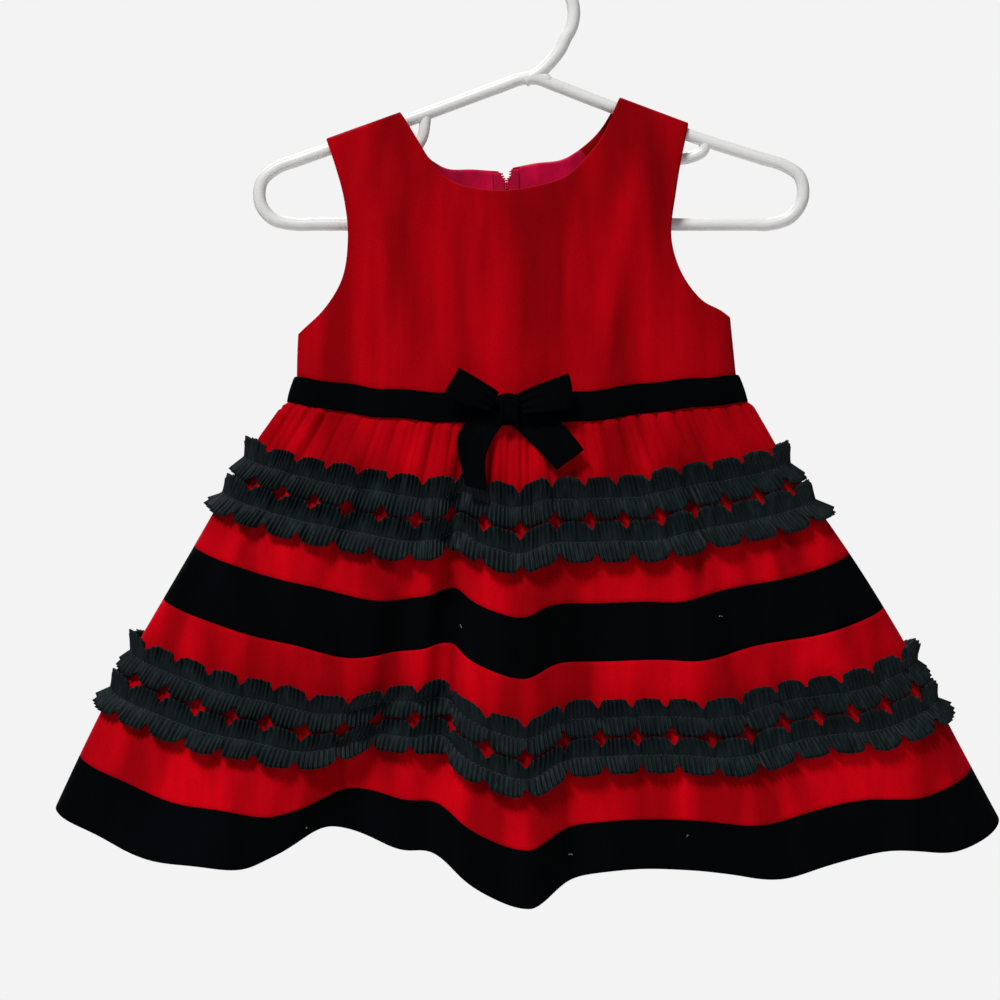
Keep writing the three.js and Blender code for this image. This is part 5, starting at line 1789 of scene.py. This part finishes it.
class DRESS_OT_trims(bpy.types.Operator):
    """Sew on the pleated, scalloped trims"""

    bl_idname = "dress.trims"
    bl_label = "Pleated trims"

    def execute(self, context):
        for trim in TRIMS:
            trim_ribbon(*trim)
        return {"FINISHED"}


class DRESS_OT_ribbon(bpy.types.Operator):
    """Sew on the waist ribbon"""

    bl_idname = "dress.ribbon"
    bl_label = "Waist ribbon"

    def execute(self, context):
        waist_ribbon()
        return {"FINISHED"}


class DRESS_OT_bow(bpy.types.Operator):
    """Tie the bow: loops, tails and knot"""

    bl_idname = "dress.bow"
    bl_label = "Bow"

    def execute(self, context):
        for node, loop in LOOPS.items():
            bow_loop(node, **loop)
        for node, sections in TAILS.items():
            bow_tail(node, sections)
        bow_knot()
        return {"FINISHED"}


class DRESS_OT_lint(bpy.types.Operator):
    """Scatter a few fibres on the velvet"""

    bl_idname = "dress.lint"
    bl_label = "Lint"

    def execute(self, context):
        lint()
        return {"FINISHED"}


class DRESS_OT_stage(bpy.types.Operator):
    """Set up the pale floor, the soft lights and the camera"""

    bl_idname = "dress.stage"
    bl_label = "Stage"

    def execute(self, context):
        pale_floor()
        light_room()
        camera()
        return {"FINISHED"}


OPERATORS = [
    DRESS_OT_hanger,
    DRESS_OT_bodice,
    DRESS_OT_lining,
    DRESS_OT_zip,
    DRESS_OT_skirt,
    DRESS_OT_trims,
    DRESS_OT_ribbon,
    DRESS_OT_bow,
    DRESS_OT_lint,
    DRESS_OT_stage,
]


class DRESS_PT_panel(bpy.types.Panel):
    """Lists the dress's sizes, colours and steps"""

    bl_idname = "DRESS_PT_panel"
    bl_label = "Toddler party dress"
    bl_space_type = "VIEW_3D"
    bl_region_type = "UI"
    bl_category = "Dress"

    def draw(self, context):
        for group in ("dress_sizes", "dress_colours", "dress_stage"):
            values = getattr(context.scene, group)
            box = self.layout.box()
            for name in values.__annotations__:
                box.prop(values, name)
        for operator in OPERATORS:
            self.layout.operator(operator.bl_idname)


GROUPS = {"dress_sizes": DressSizes, "dress_colours": DressColours, "dress_stage": DressStage}


def register():
    for group in GROUPS.values():
        bpy.utils.register_class(group)
    for name, group in GROUPS.items():
        setattr(bpy.types.Scene, name, PointerProperty(type=group))
    for item in OPERATORS + [DRESS_PT_panel]:
        bpy.utils.register_class(item)


def unregister():
    for item in reversed(OPERATORS + [DRESS_PT_panel]):
        bpy.utils.unregister_class(item)
    for name in GROUPS:
        delattr(bpy.types.Scene, name)
    for group in reversed(GROUPS.values()):
        bpy.utils.unregister_class(group)


def main():
    register()
    bpy.ops.dress.hanger()
    bpy.ops.dress.skirt()
    bpy.ops.dress.bodice()
    bpy.ops.dress.lining()
    bpy.ops.dress.ribbon()
    bpy.ops.dress.zip()
    bpy.ops.dress.trims()
    bpy.ops.dress.bow()
    bpy.ops.dress.lint()
    bpy.ops.dress.stage()


if __name__ == "__main__":
    main()
